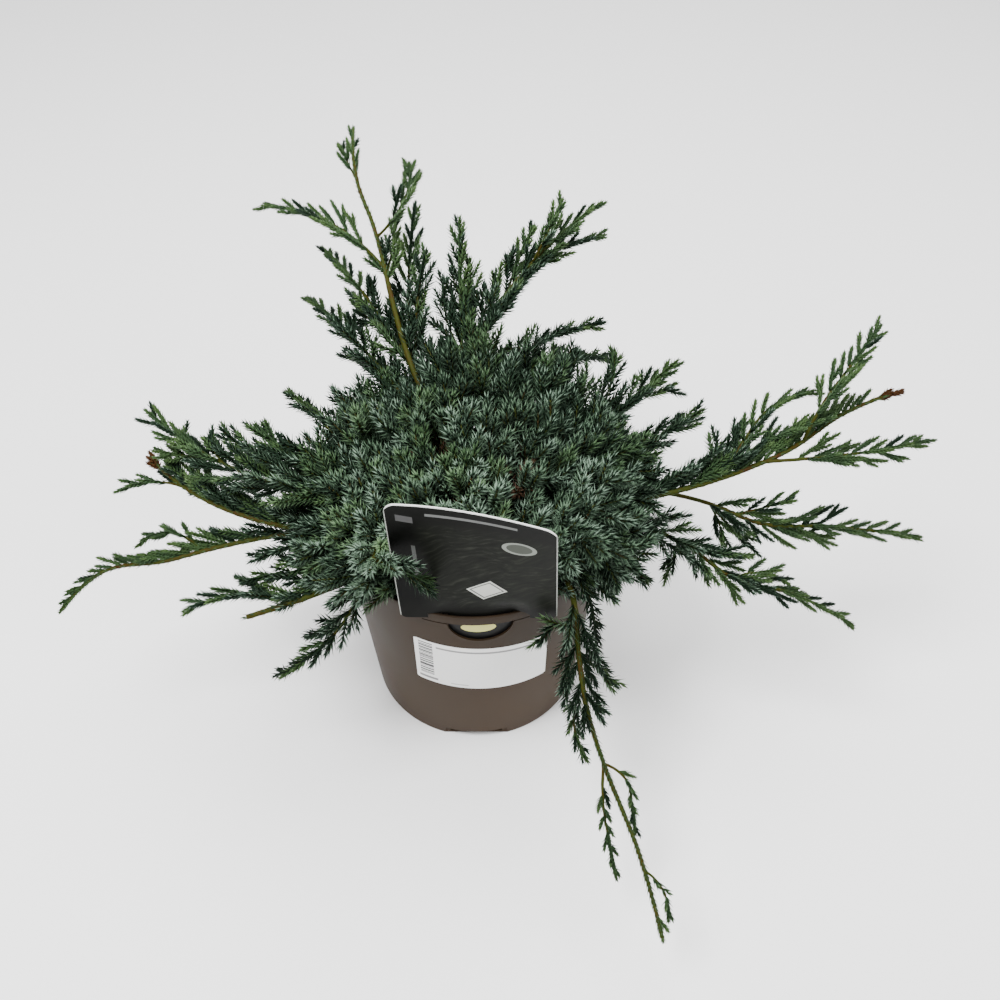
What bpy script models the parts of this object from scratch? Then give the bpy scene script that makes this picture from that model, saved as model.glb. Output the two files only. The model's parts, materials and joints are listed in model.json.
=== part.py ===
"""A potted blue carpet flaky juniper: a low spreading conifer in a three-litre plastic pot.

Metres, +Z up. The origin is the centre of the pot's flat underside, +X is the right of the front
view and +Y points to the back. Each bough and each mass of foliage is one closed solid.
"""

import math
import random

import bmesh
import bpy
import numpy as np
from mathutils import Vector

MM = 0.001
GAP = 0.3 * MM

# Pot, a thin cone with a solid floor, a label slot under its front rim and three drain notches
POT_HEIGHT = 153 * MM
POT_TOP_RADIUS = 90 * MM
POT_BASE_RADIUS = 76.25 * MM
POT_WALL = 1.6 * MM
POT_FLOOR = 4.5 * MM
POT_SIDES = 48
SLOT_TOP = 145 * MM
SLOT_DEPTH = 18 * MM
SLOT_WIDTH = 42 * MM
SLIT_LENGTH = 16 * MM
SLIT_HEIGHT = 0.9 * MM
NOTCH_COUNT = 3
NOTCH_WIDTH = 45 * MM
NOTCH_HEIGHT = 7 * MM
NOTCH_INNER_RADIUS = 72.5 * MM
FRONT = math.radians(-90)

# Compost, a plug that fills the pot to below the rim
COMPOST_EDGE = 136 * MM
COMPOST_CROWN = 138.3 * MM
POCKET_DEPTH = 7 * MM

# Plant card, carried by a tongue behind the rim strap
SLOT_TURN = math.radians(3.4)
CARD_TURN = math.radians(-0.9)
CARD_WIDTH = 98 * MM
CARD_HEIGHT = 100 * MM
CARD_THICKNESS = 0.6 * MM
CARD_SETBACK = 87.4 * MM
CARD_SHIFT = 5.5 * MM
CARD_SWAY = math.radians(2.3)
CARD_ARCH = 5 * MM
CARD_CORNER = 7 * MM
CARD_LEAN = math.radians(-7.8)
CARD_TWIST = math.radians(-6.7)
CARD_FOOT = POT_HEIGHT + 1 * MM
CARD_SEAT = POT_HEIGHT + 0.8 * MM
CARD_BLEND = 14 * MM
CARD_MIDDLE = 2 * MM
TONGUE_HALF_WIDTH = 20 * MM
TONGUE_FOOT = 120 * MM
TONGUE_GAP = 0.5 * MM
SHOULDER_START = 32 * MM
SHOULDER_FOOT = 150 * MM
SHOULDER_CORNER = 4 * MM

# Price label, a paper patch on the wall under the slot
LABEL_LEFT = -40.8 * MM
LABEL_RIGHT = 52 * MM
LABEL_LOW = 68 * MM
LABEL_HIGH = 117.5 * MM
LABEL_TILT = -0.055
LABEL_THICKNESS = 0.25 * MM
LABEL_COLUMNS = 12

# Trunk: height, lean towards +Y and radius of each ring, from the root flare to the tip
TRUNK_RINGS = (
    (138.6, 0.0, 10.5),
    (142.0, 0.0, 8.6),
    (149.0, 0.3, 7.4),
    (168.0, 1.2, 6.9),
    (186.0, 1.8, 6.0),
)

# Leading shoots. Root height on the trunk, then the way-points of the shoot's line as heading in
# degrees from +X, reach from the trunk's axis and height in millimetres, the last one its tip. Then
# the radius at the root, the share of its length that is bare bough and where its foliage starts.
LEADERS = {
    "back_tall": (184.5, ((119.1, 100, 232), (115.8, 136, 249), (113.4, 183, 276),
        (113.5, 215, 297), (111.1, 249, 318)), 2.6, 0.52, 0.56),
    "back_second": (158, ((109.2, 149, 235), (106, 175, 253), (102.7, 206, 275)), 1.7, 0, 0.42),
    "back_left_upper": (168, ((119.7, 118, 230), (119.9, 152, 237), (120.6, 231, 240)), 1.9, 0.42, 0.46),
    "back_left_lower": (176, ((128.2, 125, 218), (127, 212, 215)), 1.7, 0, 0.4),
    "left_back": (164, ((153, 115, 194), (147.8, 158, 192)), 1.6, 0, 0.42),
    "back_centre": (173, ((95, 123, 240), (93.8, 169, 280)), 1.7, 0, 0.42),
    "back_right_tall": (179, ((92.4, 83, 221), (75.7, 158, 254), (64.2, 205, 285)), 2.2, 0.38, 0.42),
    "back_right_upper": (170, ((74, 106, 208), (56.8, 169, 212)), 1.8, 0.36, 0.4),
    "back_right_lower": (164, ((57, 124, 208), (53.1, 161, 188)), 1.7, 0, 0.46),
    "right_back": (170, ((33, 118, 192), (35.6, 176, 205)), 1.7, 0, 0.46),
    "right_upper": (176, ((14, 113, 190), (17.6, 162, 204)), 1.6, 0, 0.5),
    "right_long": (164, ((-2.1, 173, 200), (1.6, 206, 208),
        (7.2, 246, 217), (9.1, 284, 224)), 2.6, 0.45, 0.48),
    "right_lower": (152, ((-2.2, 161, 169), (-5.8, 187, 166),
        (-3.7, 239, 158), (-1.8, 304, 142)), 2, 0.42, 0.45),
    "right_drooping": (146, ((-13.2, 146, 157), (-17.5, 175, 150),
        (-15.1, 217, 137), (-14.3, 259, 115)), 1.9, 0, 0.44),
    "front_hanging": (158, ((-53.5, 106, 165), (-58.5, 126, 142), (-62, 150, 121),
        (-62, 176, 88), (-63.2, 223, 68), (-65.6, 272, 52)), 2.5, 0.38, 0.41),
    "left_upper": (176, ((-176, 150, 204), (172.7, 216, 222)), 1.8, 0, 0.48),
    "left_cut": (162, ((-166.7, 136, 178), (-174, 175, 186), (177.5, 213, 196)), 2.3, 0.55, 0.58),
    "left_long": (146, ((-167.8, 163, 161), (-168.8, 207, 151),
        (-171.2, 253, 137), (-168.5, 281, 120)), 2.4, 0.42, 0.45),
    "left_low_cut": (158, ((-138.5, 105, 165), (-146.8, 167, 156)), 3.0, 0.56, 0.59),
    "front_left_hanging": (149, ((-133.5, 90, 157.5), (-133, 104, 157), (-131.5, 123, 149),
        (-139, 164, 118)), 1.8, 0, 0.48),
    "left_inner": (170, ((176, 136, 190), (169.5, 172, 203)), 1.6, 0, 0.55),
    "left_inner_upper": (182, ((178.9, 110, 199), (165.5, 152, 200)), 1.5, 0, 0.52),
    "front_right_tuft": (170, ((-42, 96, 172), (-41, 118, 158)), 1.5, 0, 0.55),
    "front_right_low": (163, ((-49, 106, 172), (-50, 122, 134)), 1.5, 0, 0.55),
    "front_left_tuft": (176, ((-128.4, 92, 198), (-121.9, 106, 207),
        (-114.4, 108.7, 213), (-103.6, 101, 190)), 1.5, 0, 0.5),
    "left_low_small": (170, ((-156, 108, 178), (-157, 150, 172)), 1.5, 0, 0.58),
    "right_small": (176, ((-32, 100, 180), (-31, 128, 160)), 1.5, 0, 0.55),
    "back_low_left": (152, ((135, 100, 172), (132, 146, 165)), 1.6, 0, 0.5),
    "back_low_centre": (152, ((98, 100, 176), (98, 140, 172)), 1.6, 0, 0.5),
    "back_low_right": (152, ((40, 100, 172), (42, 146, 165)), 1.6, 0, 0.5),
}
CUT_LEADERS = ("left_cut", "left_low_cut")

# Branches that are fused into their leading shoot's mass: the leading shoot, the share of its
# length where they leave it and their way-points
BRANCHES = {
    "back_tall_left": ("back_tall", 0.6, ((119.9, 191, 275), (128.8, 245, 280))),
    "back_tall_right": ("back_tall", 0.69, ((108, 177, 288), (103, 215, 303))),
    "back_tall_inner": ("back_tall", 0.58, ((110.6, 171, 262), (108.2, 184, 277))),
    "back_tall_upper": ("back_tall", 0.85, ((113.6, 233, 302), (113.7, 247, 308))),
    "back_third": ("back_second", 0.46, ((110.2, 121, 235), (102.9, 159, 262))),
    "back_left_upper_low": ("back_left_upper", 0.58, ((120.5, 155, 222), (119.8, 181, 226))),
    "back_left_lower_low": ("back_left_lower", 0.45, ((126, 127, 200), (128.3, 154, 200))),
    "left_back_small": ("left_back", 0.4, ((131, 87, 192), (137, 116, 197))),
    "back_centre_right": ("back_centre", 0.57, ((91.7, 136, 240), (91.5, 151, 258))),
    "back_centre_left": ("back_centre", 0.52, ((100.1, 119, 236), (99.5, 135, 252))),
    "back_right_top": ("back_right_tall", 0.74, ((72.3, 169, 276), (70.7, 185, 292))),
    "back_right_outer": ("back_right_tall", 0.66, ((70, 178, 258), (62.8, 203, 262))),
    "back_right_inner": ("back_right_tall", 0.62, ((79.3, 163, 252), (77.1, 185, 268))),
    "back_right_low": ("back_right_tall", 0.44, ((84.5, 109, 238), (84.3, 119, 252))),
    "right_back_up": ("right_back", 0.5, ((39.6, 123, 204), (45.8, 142, 214))),
    "right_back_low": ("right_back", 0.75, ((33, 152, 194), (30.9, 166, 194))),
    "right_long_first": ("right_long", 0.49, ((2.2, 157, 197), (7.7, 163, 206))),
    "right_long_near": ("right_long", 0.53, ((3.2, 168, 203), (8, 178, 214))),
    "right_long_inner": ("right_long", 0.55, ((2.5, 174, 208), (7.9, 193, 222), (9.7, 225, 231))),
    "right_long_middle": ("right_long", 0.59, ((1.8, 182, 208), (3.9, 207, 217), (5, 232, 222))),
    "right_long_rising": ("right_long", 0.75, ((5.7, 227, 232), (10.4, 249, 243), (16.4, 284, 252))),
    "right_long_low": ("right_long", 0.65, ((0.5, 242, 207), (4.5, 303, 200))),
    "right_lower_rising": ("right_lower", 0.57, ((-3.5, 192, 172), (-2.3, 210, 177))),
    "right_lower_near": ("right_lower", 0.51, ((-3.5, 165, 157), (-6.5, 170, 146))),
    "right_lower_under": ("right_lower", 0.51, ((-4.3, 173, 155), (-6.1, 188, 144))),
    "right_lower_outer": ("right_lower", 0.61, ((-4.8, 212, 158), (-4.8, 240, 152))),
    "right_drooping_upper": ("right_drooping", 0.57, ((-13.6, 167, 158), (-13.1, 185, 157))),
    "right_drooping_outer": ("right_drooping", 0.67, ((-14.2, 195, 148), (-13.6, 212, 140))),
    "right_drooping_low": ("right_drooping", 0.55, ((-14.6, 152, 148), (-15.4, 161, 138))),
    "right_drooping_near": ("right_drooping", 0.51, ((-13.5, 137, 146), (-15.4, 134, 134))),
    "front_hanging_left": ("front_hanging", 0.51, ((-65.1, 151, 106), (-64.6, 166, 88))),
    "front_hanging_right": ("front_hanging", 0.45, ((-54.5, 131, 127), (-52.1, 146, 118))),
    "front_hanging_tuft": ("front_hanging", 0.41, ((-59.5, 108, 151), (-66.6, 108, 142))),
    "front_hanging_inner": ("front_hanging", 0.67, ((-64.7, 190, 76), (-65.9, 207, 60),
        (-66.8, 225, 47))),
    "front_hanging_outer": ("front_hanging", 0.67, ((-59.5, 189, 84), (-60.6, 202, 74),
        (-61.6, 212, 64))),
    "front_hanging_end": ("front_hanging", 0.88, ((-63, 250, 64), (-63.7, 264, 54))),
    "left_upper_low": ("left_upper", 0.73, ((179.4, 187, 206), (178.3, 207, 206))),
    "left_upper_rising": ("left_upper", 0.71, ((179.9, 167, 212), (177.3, 170, 218))),
    "left_cut_side": ("left_cut", 0.86, ((-178.4, 207, 190), (-177.7, 228, 188))),
    "left_cut_rising": ("left_cut", 0.73, ((-177.9, 176, 190), (178.5, 185, 200),
        (173.7, 192, 212))),
    "left_cut_middle": ("left_cut", 0.79, ((-177.9, 187, 193), (-179.8, 200, 198))),
    "left_long_upper": ("left_long", 0.62, ((-173.5, 206, 160), (-173.3, 221, 156))),
    "left_low_side": ("left_low_cut", 0.67, ((-144.3, 133, 158), (-153.5, 161, 156),
        (-155.9, 198, 150))),
    "left_low_upper": ("left_low_cut", 0.62, ((-150.9, 126, 163), (-155.8, 159, 158))),
    "left_low_top": ("left_low_cut", 0.64, ((-147.9, 115, 168), (-154.4, 133, 170))),
    "front_left_hanging_side": ("front_left_hanging", 0.64, ((-136.9, 124, 140), (-139.3, 134, 132))),
}

# Dense tufts of the crown's heart: heading, reach and height of each core and its half sizes
# outwards, sideways and upwards
HEARTS = (
    (208, 56, 203, 36, 30, 20),
    (252, 54, 200, 30, 32, 21),
    (304, 56, 200, 34, 30, 20),
    (348, 66, 204, 38, 28, 20),
    (30, 62, 218, 34, 26, 18),
    (146, 52, 220, 30, 26, 17),
    (270, 4, 226, 34, 34, 18),
    (336, 98, 169, 24, 26, 15),
    (208, 97, 166, 24, 24, 14),
)

# Needles and twigs
SPRAY_PITCH = 24 * MM
SPRAY_ANGLE = 33
SPRAY_SHARE = 0.30
SPRAY_END = 9 * MM
SPRAY_LONGEST = 32 * MM
SPRAY_SHORTEST = 13 * MM
NEEDLE_REACH = 5.2 * MM
TWIG_RADIUS = 1.0 * MM
WHORL_PITCH = 14.5 * MM
HEART_LINES = 6
HEART_TRIALS = 44
HEART_PITCH = 27 * MM
HEART_REACH = 16 * MM
CORE_FILL = 0.72
SPACE_MARGIN = 0.9 * MM
LIMB_MARGIN = 0.9 * MM
SPRAY_TRIALS = 12
KNOT_PITCH = 24 * MM
SEAT_ROUNDS = 3
STEM_TAPER = 0.45
BOUGH_KNOTS = 7
HEART_STEM_RADIUS = 1.6 * MM
BRANCH_LEAFY_FROM = 0.12
BRANCH_SPRAYS_FROM = 0.24
SPRAY_ROOT = 0.16
HEART_ROOT = 0.4
LAST_SPRAY = 0.80
LAST_SPRAY_OF_CUT = 0.93
MOST_WHORLS = 4
HEART_ROOT_DROP = 14 * MM
SHORTEST_BEARER = 24 * MM
PATH_STEPS = 24
SEED = 41

COLOURS = {
    "pot": (0.085, 0.066, 0.055),
    "compost": (0.022, 0.015, 0.010),
    "card": (0.014, 0.015, 0.014),
    "label": (0.80, 0.80, 0.78),
    "bark": (0.16, 0.085, 0.035),
    "needles": (0.050, 0.115, 0.085),
}


def pot_radius(height):
    """Outer radius of the pot's wall at a height."""
    share = height / POT_HEIGHT
    return POT_BASE_RADIUS + (POT_TOP_RADIUS - POT_BASE_RADIUS) * share


def place(heading, reach, height):
    """A point in metres from a heading in degrees and a reach and height in millimetres."""
    angle = math.radians(heading)
    return np.array((reach * math.cos(angle), reach * math.sin(angle), height)) * MM


def clear_scene():
    for item in list(bpy.data.objects):
        bpy.data.objects.remove(item, do_unlink=True)


def new_collection(name):
    collection = bpy.data.collections.new(name)
    bpy.context.scene.collection.children.link(collection)
    return collection


def new_material(name, roughness):
    surface = bpy.data.materials.new(name)
    surface.use_nodes = True
    shader = surface.node_tree.nodes["Principled BSDF"]
    shader.inputs["Base Color"].default_value = (*COLOURS[name], 1)
    shader.inputs["Roughness"].default_value = roughness
    shader.inputs["Metallic"].default_value = 0.0
    surface.diffuse_color = (*COLOURS[name], 1)
    return surface


def add_object(name, data, collection, surface=None):
    item = bpy.data.objects.new(name, data)
    collection.objects.link(item)
    if surface:
        data.materials.append(surface)
    return item


def as_mesh_object(item):
    """Replace a curve object by its evaluated mesh, with the caps welded on."""
    graph = bpy.context.evaluated_depsgraph_get()
    mesh = bpy.data.meshes.new_from_object(item.evaluated_get(graph))
    work = bmesh.new()
    work.from_mesh(mesh)
    bmesh.ops.remove_doubles(work, verts=work.verts, dist=0.01 * MM)
    work.to_mesh(mesh)
    work.free()
    solid = bpy.data.objects.new(item.name, mesh)
    solid.matrix_world = item.matrix_world.copy()
    for collection in list(item.users_collection):
        collection.objects.link(solid)
    name = item.name
    bpy.data.objects.remove(item, do_unlink=True)
    solid.name = name
    return solid


def turned(name, profile, sides, collection, surface):
    """A solid of revolution: a profile at +X with a Screw modifier."""
    mesh = bpy.data.meshes.new(name)
    points = [(radius, 0, height) for radius, height in profile]
    mesh.from_pydata(points, [(i, i + 1) for i in range(len(points) - 1)], [])
    item = add_object(name, mesh, collection, surface)
    screw = item.modifiers.new("Turn", "SCREW")
    screw.steps = sides
    screw.render_steps = sides
    screw.use_merge_vertices = True
    screw.merge_threshold = 0.00001
    screw.use_smooth_shade = True
    return item


def cut_by(item, cutters):
    cut = item.modifiers.new("Cut", "BOOLEAN")
    cut.operation = "DIFFERENCE"
    cut.operand_type = "COLLECTION"
    cut.collection = cutters
    cut.solver = "EXACT"


def hide_cutter(item):
    item.hide_render = True
    item.display_type = "WIRE"


def box_cutter(name, size, location, turn, cutters):
    mesh = bpy.data.meshes.new(name)
    work = bmesh.new()
    bmesh.ops.create_cube(work, size=1)
    bmesh.ops.scale(work, verts=work.verts, vec=size)
    work.to_mesh(mesh)
    work.free()
    item = add_object(name, mesh, cutters)
    item.location = location
    item.rotation_euler = (0, 0, turn)
    hide_cutter(item)
    return item


def make_pot(parts, surface):
    """The pot: a turned shell, cut by the label slot with its slits and by the drain notches."""
    wall_in = POT_WALL
    top = POT_HEIGHT
    foot = 1.2 * MM
    profile = (
        (0, POT_FLOOR),
        (pot_radius(POT_FLOOR) - wall_in - 1.5 * MM, POT_FLOOR),
        (pot_radius(POT_FLOOR) - wall_in, POT_FLOOR + 2 * MM),
        (pot_radius(top) - wall_in, top - 0.5 * MM),
        (pot_radius(top) - 0.8 * MM, top),
        (pot_radius(top), top - 0.7 * MM),
        (pot_radius(foot), foot),
        (pot_radius(0) - foot, 0),
        (0, 0),
    )
    pot = turned("pot", profile, POT_SIDES, parts, surface)
    cutters = new_collection("pot cutters")

    outline = bpy.data.curves.new("label_slot", "CURVE")
    outline.dimensions = "2D"
    outline.fill_mode = "BOTH"
    outline.extrude = 10 * MM
    half = SLOT_WIDTH / 2
    points = [(half + SLIT_LENGTH, 0), (-half - SLIT_LENGTH, 0), (-half - SLIT_LENGTH, -SLIT_HEIGHT)]
    for step in range(13):
        angle = math.pi + math.pi * step / 12
        points.append((half * math.cos(angle), -SLIT_HEIGHT + (SLOT_DEPTH - SLIT_HEIGHT) * math.sin(angle)))
    points.append((half + SLIT_LENGTH, -SLIT_HEIGHT))
    spline = outline.splines.new("POLY")
    spline.points.add(len(points) - 1)
    for point, (across, up) in zip(spline.points, points):
        point.co = (across, up, 0, 1)
    spline.use_cyclic_u = True
    slot = add_object("label_slot", outline, cutters)
    slot.location = place(math.degrees(FRONT + SLOT_TURN), 88, 0)
    slot.location.z = SLOT_TOP
    slot.rotation_euler = (math.radians(90), 0, SLOT_TURN)
    bpy.context.view_layer.update()
    hide_cutter(as_mesh_object(slot))

    for index in range(NOTCH_COUNT):
        angle = FRONT + index * math.tau / NOTCH_COUNT
        depth = POT_TOP_RADIUS - NOTCH_INNER_RADIUS
        reach = NOTCH_INNER_RADIUS + depth / 2
        centre = (reach * math.cos(angle), reach * math.sin(angle), 0)
        size = (depth, NOTCH_WIDTH, 2 * NOTCH_HEIGHT)
        box_cutter(f"drain_notch_{index + 1}", size, centre, angle, cutters)
    cut_by(pot, cutters)
    return pot


def make_compost(parts, surface):
    """The compost: a turned plug with a pocket for the card's tongue."""
    inset = POT_WALL + GAP
    low = POT_FLOOR + GAP
    profile = (
        (0, COMPOST_CROWN),
        (40 * MM, COMPOST_CROWN - 0.8 * MM),
        (pot_radius(COMPOST_EDGE) - inset, COMPOST_EDGE),
        (pot_radius(low) - inset, low + 2 * MM),
        (pot_radius(low) - inset - 1.5 * MM, low),
        (0, low),
    )
    compost = turned("compost", profile, POT_SIDES, parts, surface)
    cutters = new_collection("compost cutters")
    width = 2 * (TONGUE_HALF_WIDTH + 4 * MM)
    height = COMPOST_CROWN - TONGUE_FOOT + 12 * MM
    angle = FRONT + SLOT_TURN
    reach = pot_radius(COMPOST_EDGE) - POT_WALL
    centre = (reach * math.cos(angle), reach * math.sin(angle), TONGUE_FOOT - 4 * MM + height / 2)
    box_cutter("tongue_pocket", (2 * POCKET_DEPTH, width, height), centre, angle, cutters)
    cut_by(compost, cutters)
    return compost


def card_top(across):
    """Height of the card's arched top edge, rounded at its corners."""
    half = CARD_WIDTH / 2
    top = CARD_HEIGHT + CARD_ARCH * (1 - (across / half) ** 2)
    into_corner = abs(across) - (half - CARD_CORNER)
    if into_corner > 0:
        top -= CARD_CORNER - math.sqrt(max(0, CARD_CORNER ** 2 - into_corner ** 2))
    return CARD_FOOT + across * math.sin(CARD_SWAY) + top * math.cos(CARD_SWAY)


def card_point(across, height):
    """A place on the card's outer face: the tongue follows the wall and the body leans forwards."""
    up = (height - CARD_FOOT - across * math.sin(CARD_SWAY)) / math.cos(CARD_SWAY)
    aside = across * math.cos(CARD_SWAY) - up * math.sin(CARD_SWAY) + CARD_SHIFT
    lean = CARD_LEAN + CARD_TWIST * across / (CARD_WIDTH / 2)
    depth = CARD_SETBACK - (height - POT_HEIGHT) * math.tan(lean)
    body = np.array((aside * math.cos(CARD_TURN) + depth * math.sin(CARD_TURN),
                     aside * math.sin(CARD_TURN) - depth * math.cos(CARD_TURN), height))
    wall = pot_radius(min(height, POT_HEIGHT)) - POT_WALL - TONGUE_GAP
    curved = math.sqrt(max(0, wall ** 2 - across ** 2))
    tongue = np.array((across * math.cos(SLOT_TURN) + curved * math.sin(SLOT_TURN),
                       across * math.sin(SLOT_TURN) - curved * math.cos(SLOT_TURN), height))
    near_tongue = (SHOULDER_START - abs(across)) / (SHOULDER_START - TONGUE_HALF_WIDTH)
    near_rim = 1 - (height - CARD_FOOT) / CARD_BLEND
    share = min(1, max(0, near_tongue)) * min(1, max(0, near_rim))
    return body * (1 - share) + tongue * share


def shoulder_foot(across):
    """Lowest height of the card's shoulders, rounded at their outer corners."""
    into_corner = max(0, abs(across) - (CARD_WIDTH / 2 - SHOULDER_CORNER))
    return SHOULDER_FOOT + 3 * MM * (into_corner / SHOULDER_CORNER) ** 2


def make_card(parts, surface):
    """The plant card: a thin twisted sheet with shoulders over the rim and a tongue behind it."""
    half = CARD_WIDTH / 2
    right = [0, TONGUE_HALF_WIDTH, SHOULDER_START, half - CARD_CORNER, half - 0.3 * CARD_CORNER, half]
    columns = [-x for x in right[:0:-1]] + right
    body_shares = (0, 0.15, 0.4, 0.7, 1)
    work = bmesh.new()
    grid = {}

    def corner(across, height):
        key = (round(across / MM, 3), round(height / MM, 3))
        if key not in grid:
            grid[key] = work.verts.new(card_point(across, height))
        return grid[key]

    def panel(x0, x1, heights0, heights1):
        for i in range(len(heights0) - 1):
            lower = (corner(x0, heights0[i]), corner(x1, heights1[i]))
            upper = (corner(x1, heights1[i + 1]), corner(x0, heights0[i + 1]))
            work.faces.new(lower + upper)

    for x0, x1 in zip(columns, columns[1:]):
        body0 = [CARD_SEAT + (card_top(x0) - CARD_SEAT) * share for share in body_shares]
        body1 = [CARD_SEAT + (card_top(x1) - CARD_SEAT) * share for share in body_shares]
        panel(x0, x1, body0, body1)
        if max(abs(x0), abs(x1)) <= TONGUE_HALF_WIDTH + 1e-6:
            tongue = (TONGUE_FOOT, 132 * MM, 144 * MM, CARD_SEAT)
            panel(x0, x1, tongue, tongue)
        elif min(abs(x0), abs(x1)) >= SHOULDER_START - 1e-6:
            panel(x0, x1, (shoulder_foot(x0), CARD_SEAT), (shoulder_foot(x1), CARD_SEAT))
    mesh = bpy.data.meshes.new("plant_card")
    work.to_mesh(mesh)
    work.free()
    card = add_object("plant_card", mesh, parts, surface)
    shell = card.modifiers.new("Thickness", "SOLIDIFY")
    shell.thickness = CARD_THICKNESS
    shell.offset = -1
    return card


def make_label(parts, surface):
    """The price label: a curved paper patch 0.3 mm off the wall."""
    work = bmesh.new()
    rows = []
    for edge in (LABEL_LOW, LABEL_HIGH):
        row = []
        for column in range(LABEL_COLUMNS + 1):
            across = LABEL_LEFT + (LABEL_RIGHT - LABEL_LEFT) * column / LABEL_COLUMNS
            height = edge + LABEL_TILT * (across - (LABEL_LEFT + LABEL_RIGHT) / 2)
            radius = pot_radius(height) + GAP
            angle = FRONT + across / radius
            row.append(work.verts.new((radius * math.cos(angle), radius * math.sin(angle), height)))
        rows.append(row)
    for column in range(LABEL_COLUMNS):
        low = rows[0][column:column + 2]
        high = rows[1][column:column + 2]
        work.faces.new((low[0], low[1], high[1], high[0]))
    mesh = bpy.data.meshes.new("price_label")
    work.to_mesh(mesh)
    work.free()
    label = add_object("price_label", mesh, parts, surface)
    shell = label.modifiers.new("Thickness", "SOLIDIFY")
    shell.thickness = LABEL_THICKNESS
    shell.offset = 1
    return label


def make_limb(name, points, radii, parts, surface, roundness=2):
    """A tapering limb: a poly curve with a radius at each point and filled caps."""
    curve = bpy.data.curves.new(name, "CURVE")
    curve.dimensions = "3D"
    curve.bevel_depth = 1 * MM
    curve.bevel_resolution = roundness
    curve.use_fill_caps = True
    spline = curve.splines.new("POLY")
    spline.points.add(len(points) - 1)
    for knot, point, radius in zip(spline.points, points, radii):
        knot.co = (*point, 1)
        knot.radius = radius / MM
    return add_object(name, curve, parts, surface)


def trunk_radius(height):
    rings = np.array(TRUNK_RINGS) * MM
    return float(np.interp(height, rings[:, 0], rings[:, 2]))


def trunk_centre(height):
    rings = np.array(TRUNK_RINGS) * MM
    return np.array((0, float(np.interp(height, rings[:, 0], rings[:, 1])), height))


def lengths_along(path):
    steps = np.linalg.norm(np.diff(path, axis=0), axis=1)
    return np.concatenate(((0,), np.cumsum(steps)))


def flowing(points):
    """Evenly spaced points of one smooth curve through a shoot's root, way-points and tip."""
    points = np.array(points)
    knots = lengths_along(points)
    slopes = np.gradient(points, knots, axis=0, edge_order=2)
    along = np.linspace(0, knots[-1], PATH_STEPS + 1)
    piece = np.clip(np.searchsorted(knots, along, side="right") - 1, 0, len(points) - 2)
    width = (knots[piece + 1] - knots[piece])[:, None]
    t = (along - knots[piece])[:, None] / width
    from_points = points[piece] * (1 + 2 * t) * (1 - t) ** 2 + points[piece + 1] * t ** 2 * (3 - 2 * t)
    from_slopes = slopes[piece] * t * (1 - t) ** 2 + slopes[piece + 1] * t ** 2 * (t - 1)
    return from_points + from_slopes * width


def point_along(path, share):
    """The point and the unit heading at a share of a path's length."""
    along = lengths_along(path)
    target = share * along[-1]
    point = np.array([np.interp(target, along, path[:, axis]) for axis in range(3)])
    index = min(len(path) - 2, max(0, int(np.searchsorted(along, target)) - 1))
    heading = path[index + 1] - path[index]
    return point, heading / np.linalg.norm(heading)


def stretch(path, start, end, points):
    """Evenly spaced points of a path between two shares of its length."""
    return np.array([point_along(path, share)[0] for share in np.linspace(start, end, points)])


def side_and_up(heading):
    """Unit vectors to the left of a heading and square to both."""
    side = np.cross((0, 0, 1), heading)
    side /= np.linalg.norm(side)
    return side, np.cross(heading, side)


def distance_to(points, path):
    """Distance of each point from a path of straight pieces."""
    points = np.atleast_2d(points)[:, None, :]
    low = path[None, :-1]
    piece = path[None, 1:] - low
    share = ((points - low) * piece).sum(2) / (piece ** 2).sum(2)
    nearest = low + np.clip(share, 0, 1)[..., None] * piece
    return np.linalg.norm(points - nearest, axis=2).min(1)


def distance_to_lines(points, lines):
    return np.min([distance_to(points, line) for line in lines], axis=0)


class Shoot:
    """One mass of foliage: its stem's path, radius, branches and where its foliage starts."""

    def __init__(self, name, path, root_radius, leafy_from, cut=False, core=None, branches=()):
        self.name = name
        self.knots = 2 if core else max(5, round(lengths_along(path)[-1] / KNOT_PITCH))
        self.path = stretch(path, 0, 1, self.knots + 1)
        path = self.path
        self.root_radius = root_radius
        self.leafy_from = leafy_from
        self.cut = cut
        self.core = core
        self.length = lengths_along(path)[-1]
        self.branches = branches
        self.leafy = [stretch(path, leafy_from, 1, 10)]
        self.leafy += [stretch(branch, 0.25, 1, 5) for branch in branches]
        self.bare = stretch(path, 0, leafy_from, 8) if leafy_from > 0.1 else None


def seated(start, way_points, radius):
    """Move a stem's start until its end face is 0.3 mm clear of the trunk."""
    inwards = start - way_points[0]
    inwards[2] = 0
    inwards /= np.linalg.norm(inwards)
    for _ in range(SEAT_ROUNDS):
        heading = point_along(stretch(flowing([start, *way_points]), 0, 1, 6), 0)[1]
        face = np.array(ring_points(start, heading, radius, 0, sides=6))
        start = start + inwards * (clear_of_trunk(face) - GAP)
    return start


def clear_of_trunk(points):
    gaps = []
    for point in points:
        away = point - trunk_centre(point[2])
        gaps.append(math.hypot(away[0], away[1]) - trunk_radius(point[2]))
    return min(gaps)


def root_on_trunk(way_points, height, radius):
    """Where a stem starts, its end face 0.3 mm clear of the trunk."""
    away = way_points[0] - trunk_centre(height)
    flat = np.array((away[0], away[1], 0))
    flat /= np.linalg.norm(flat)
    start = trunk_centre(height) + flat * (trunk_radius(height) + radius)
    return seated(start, way_points, radius)


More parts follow.
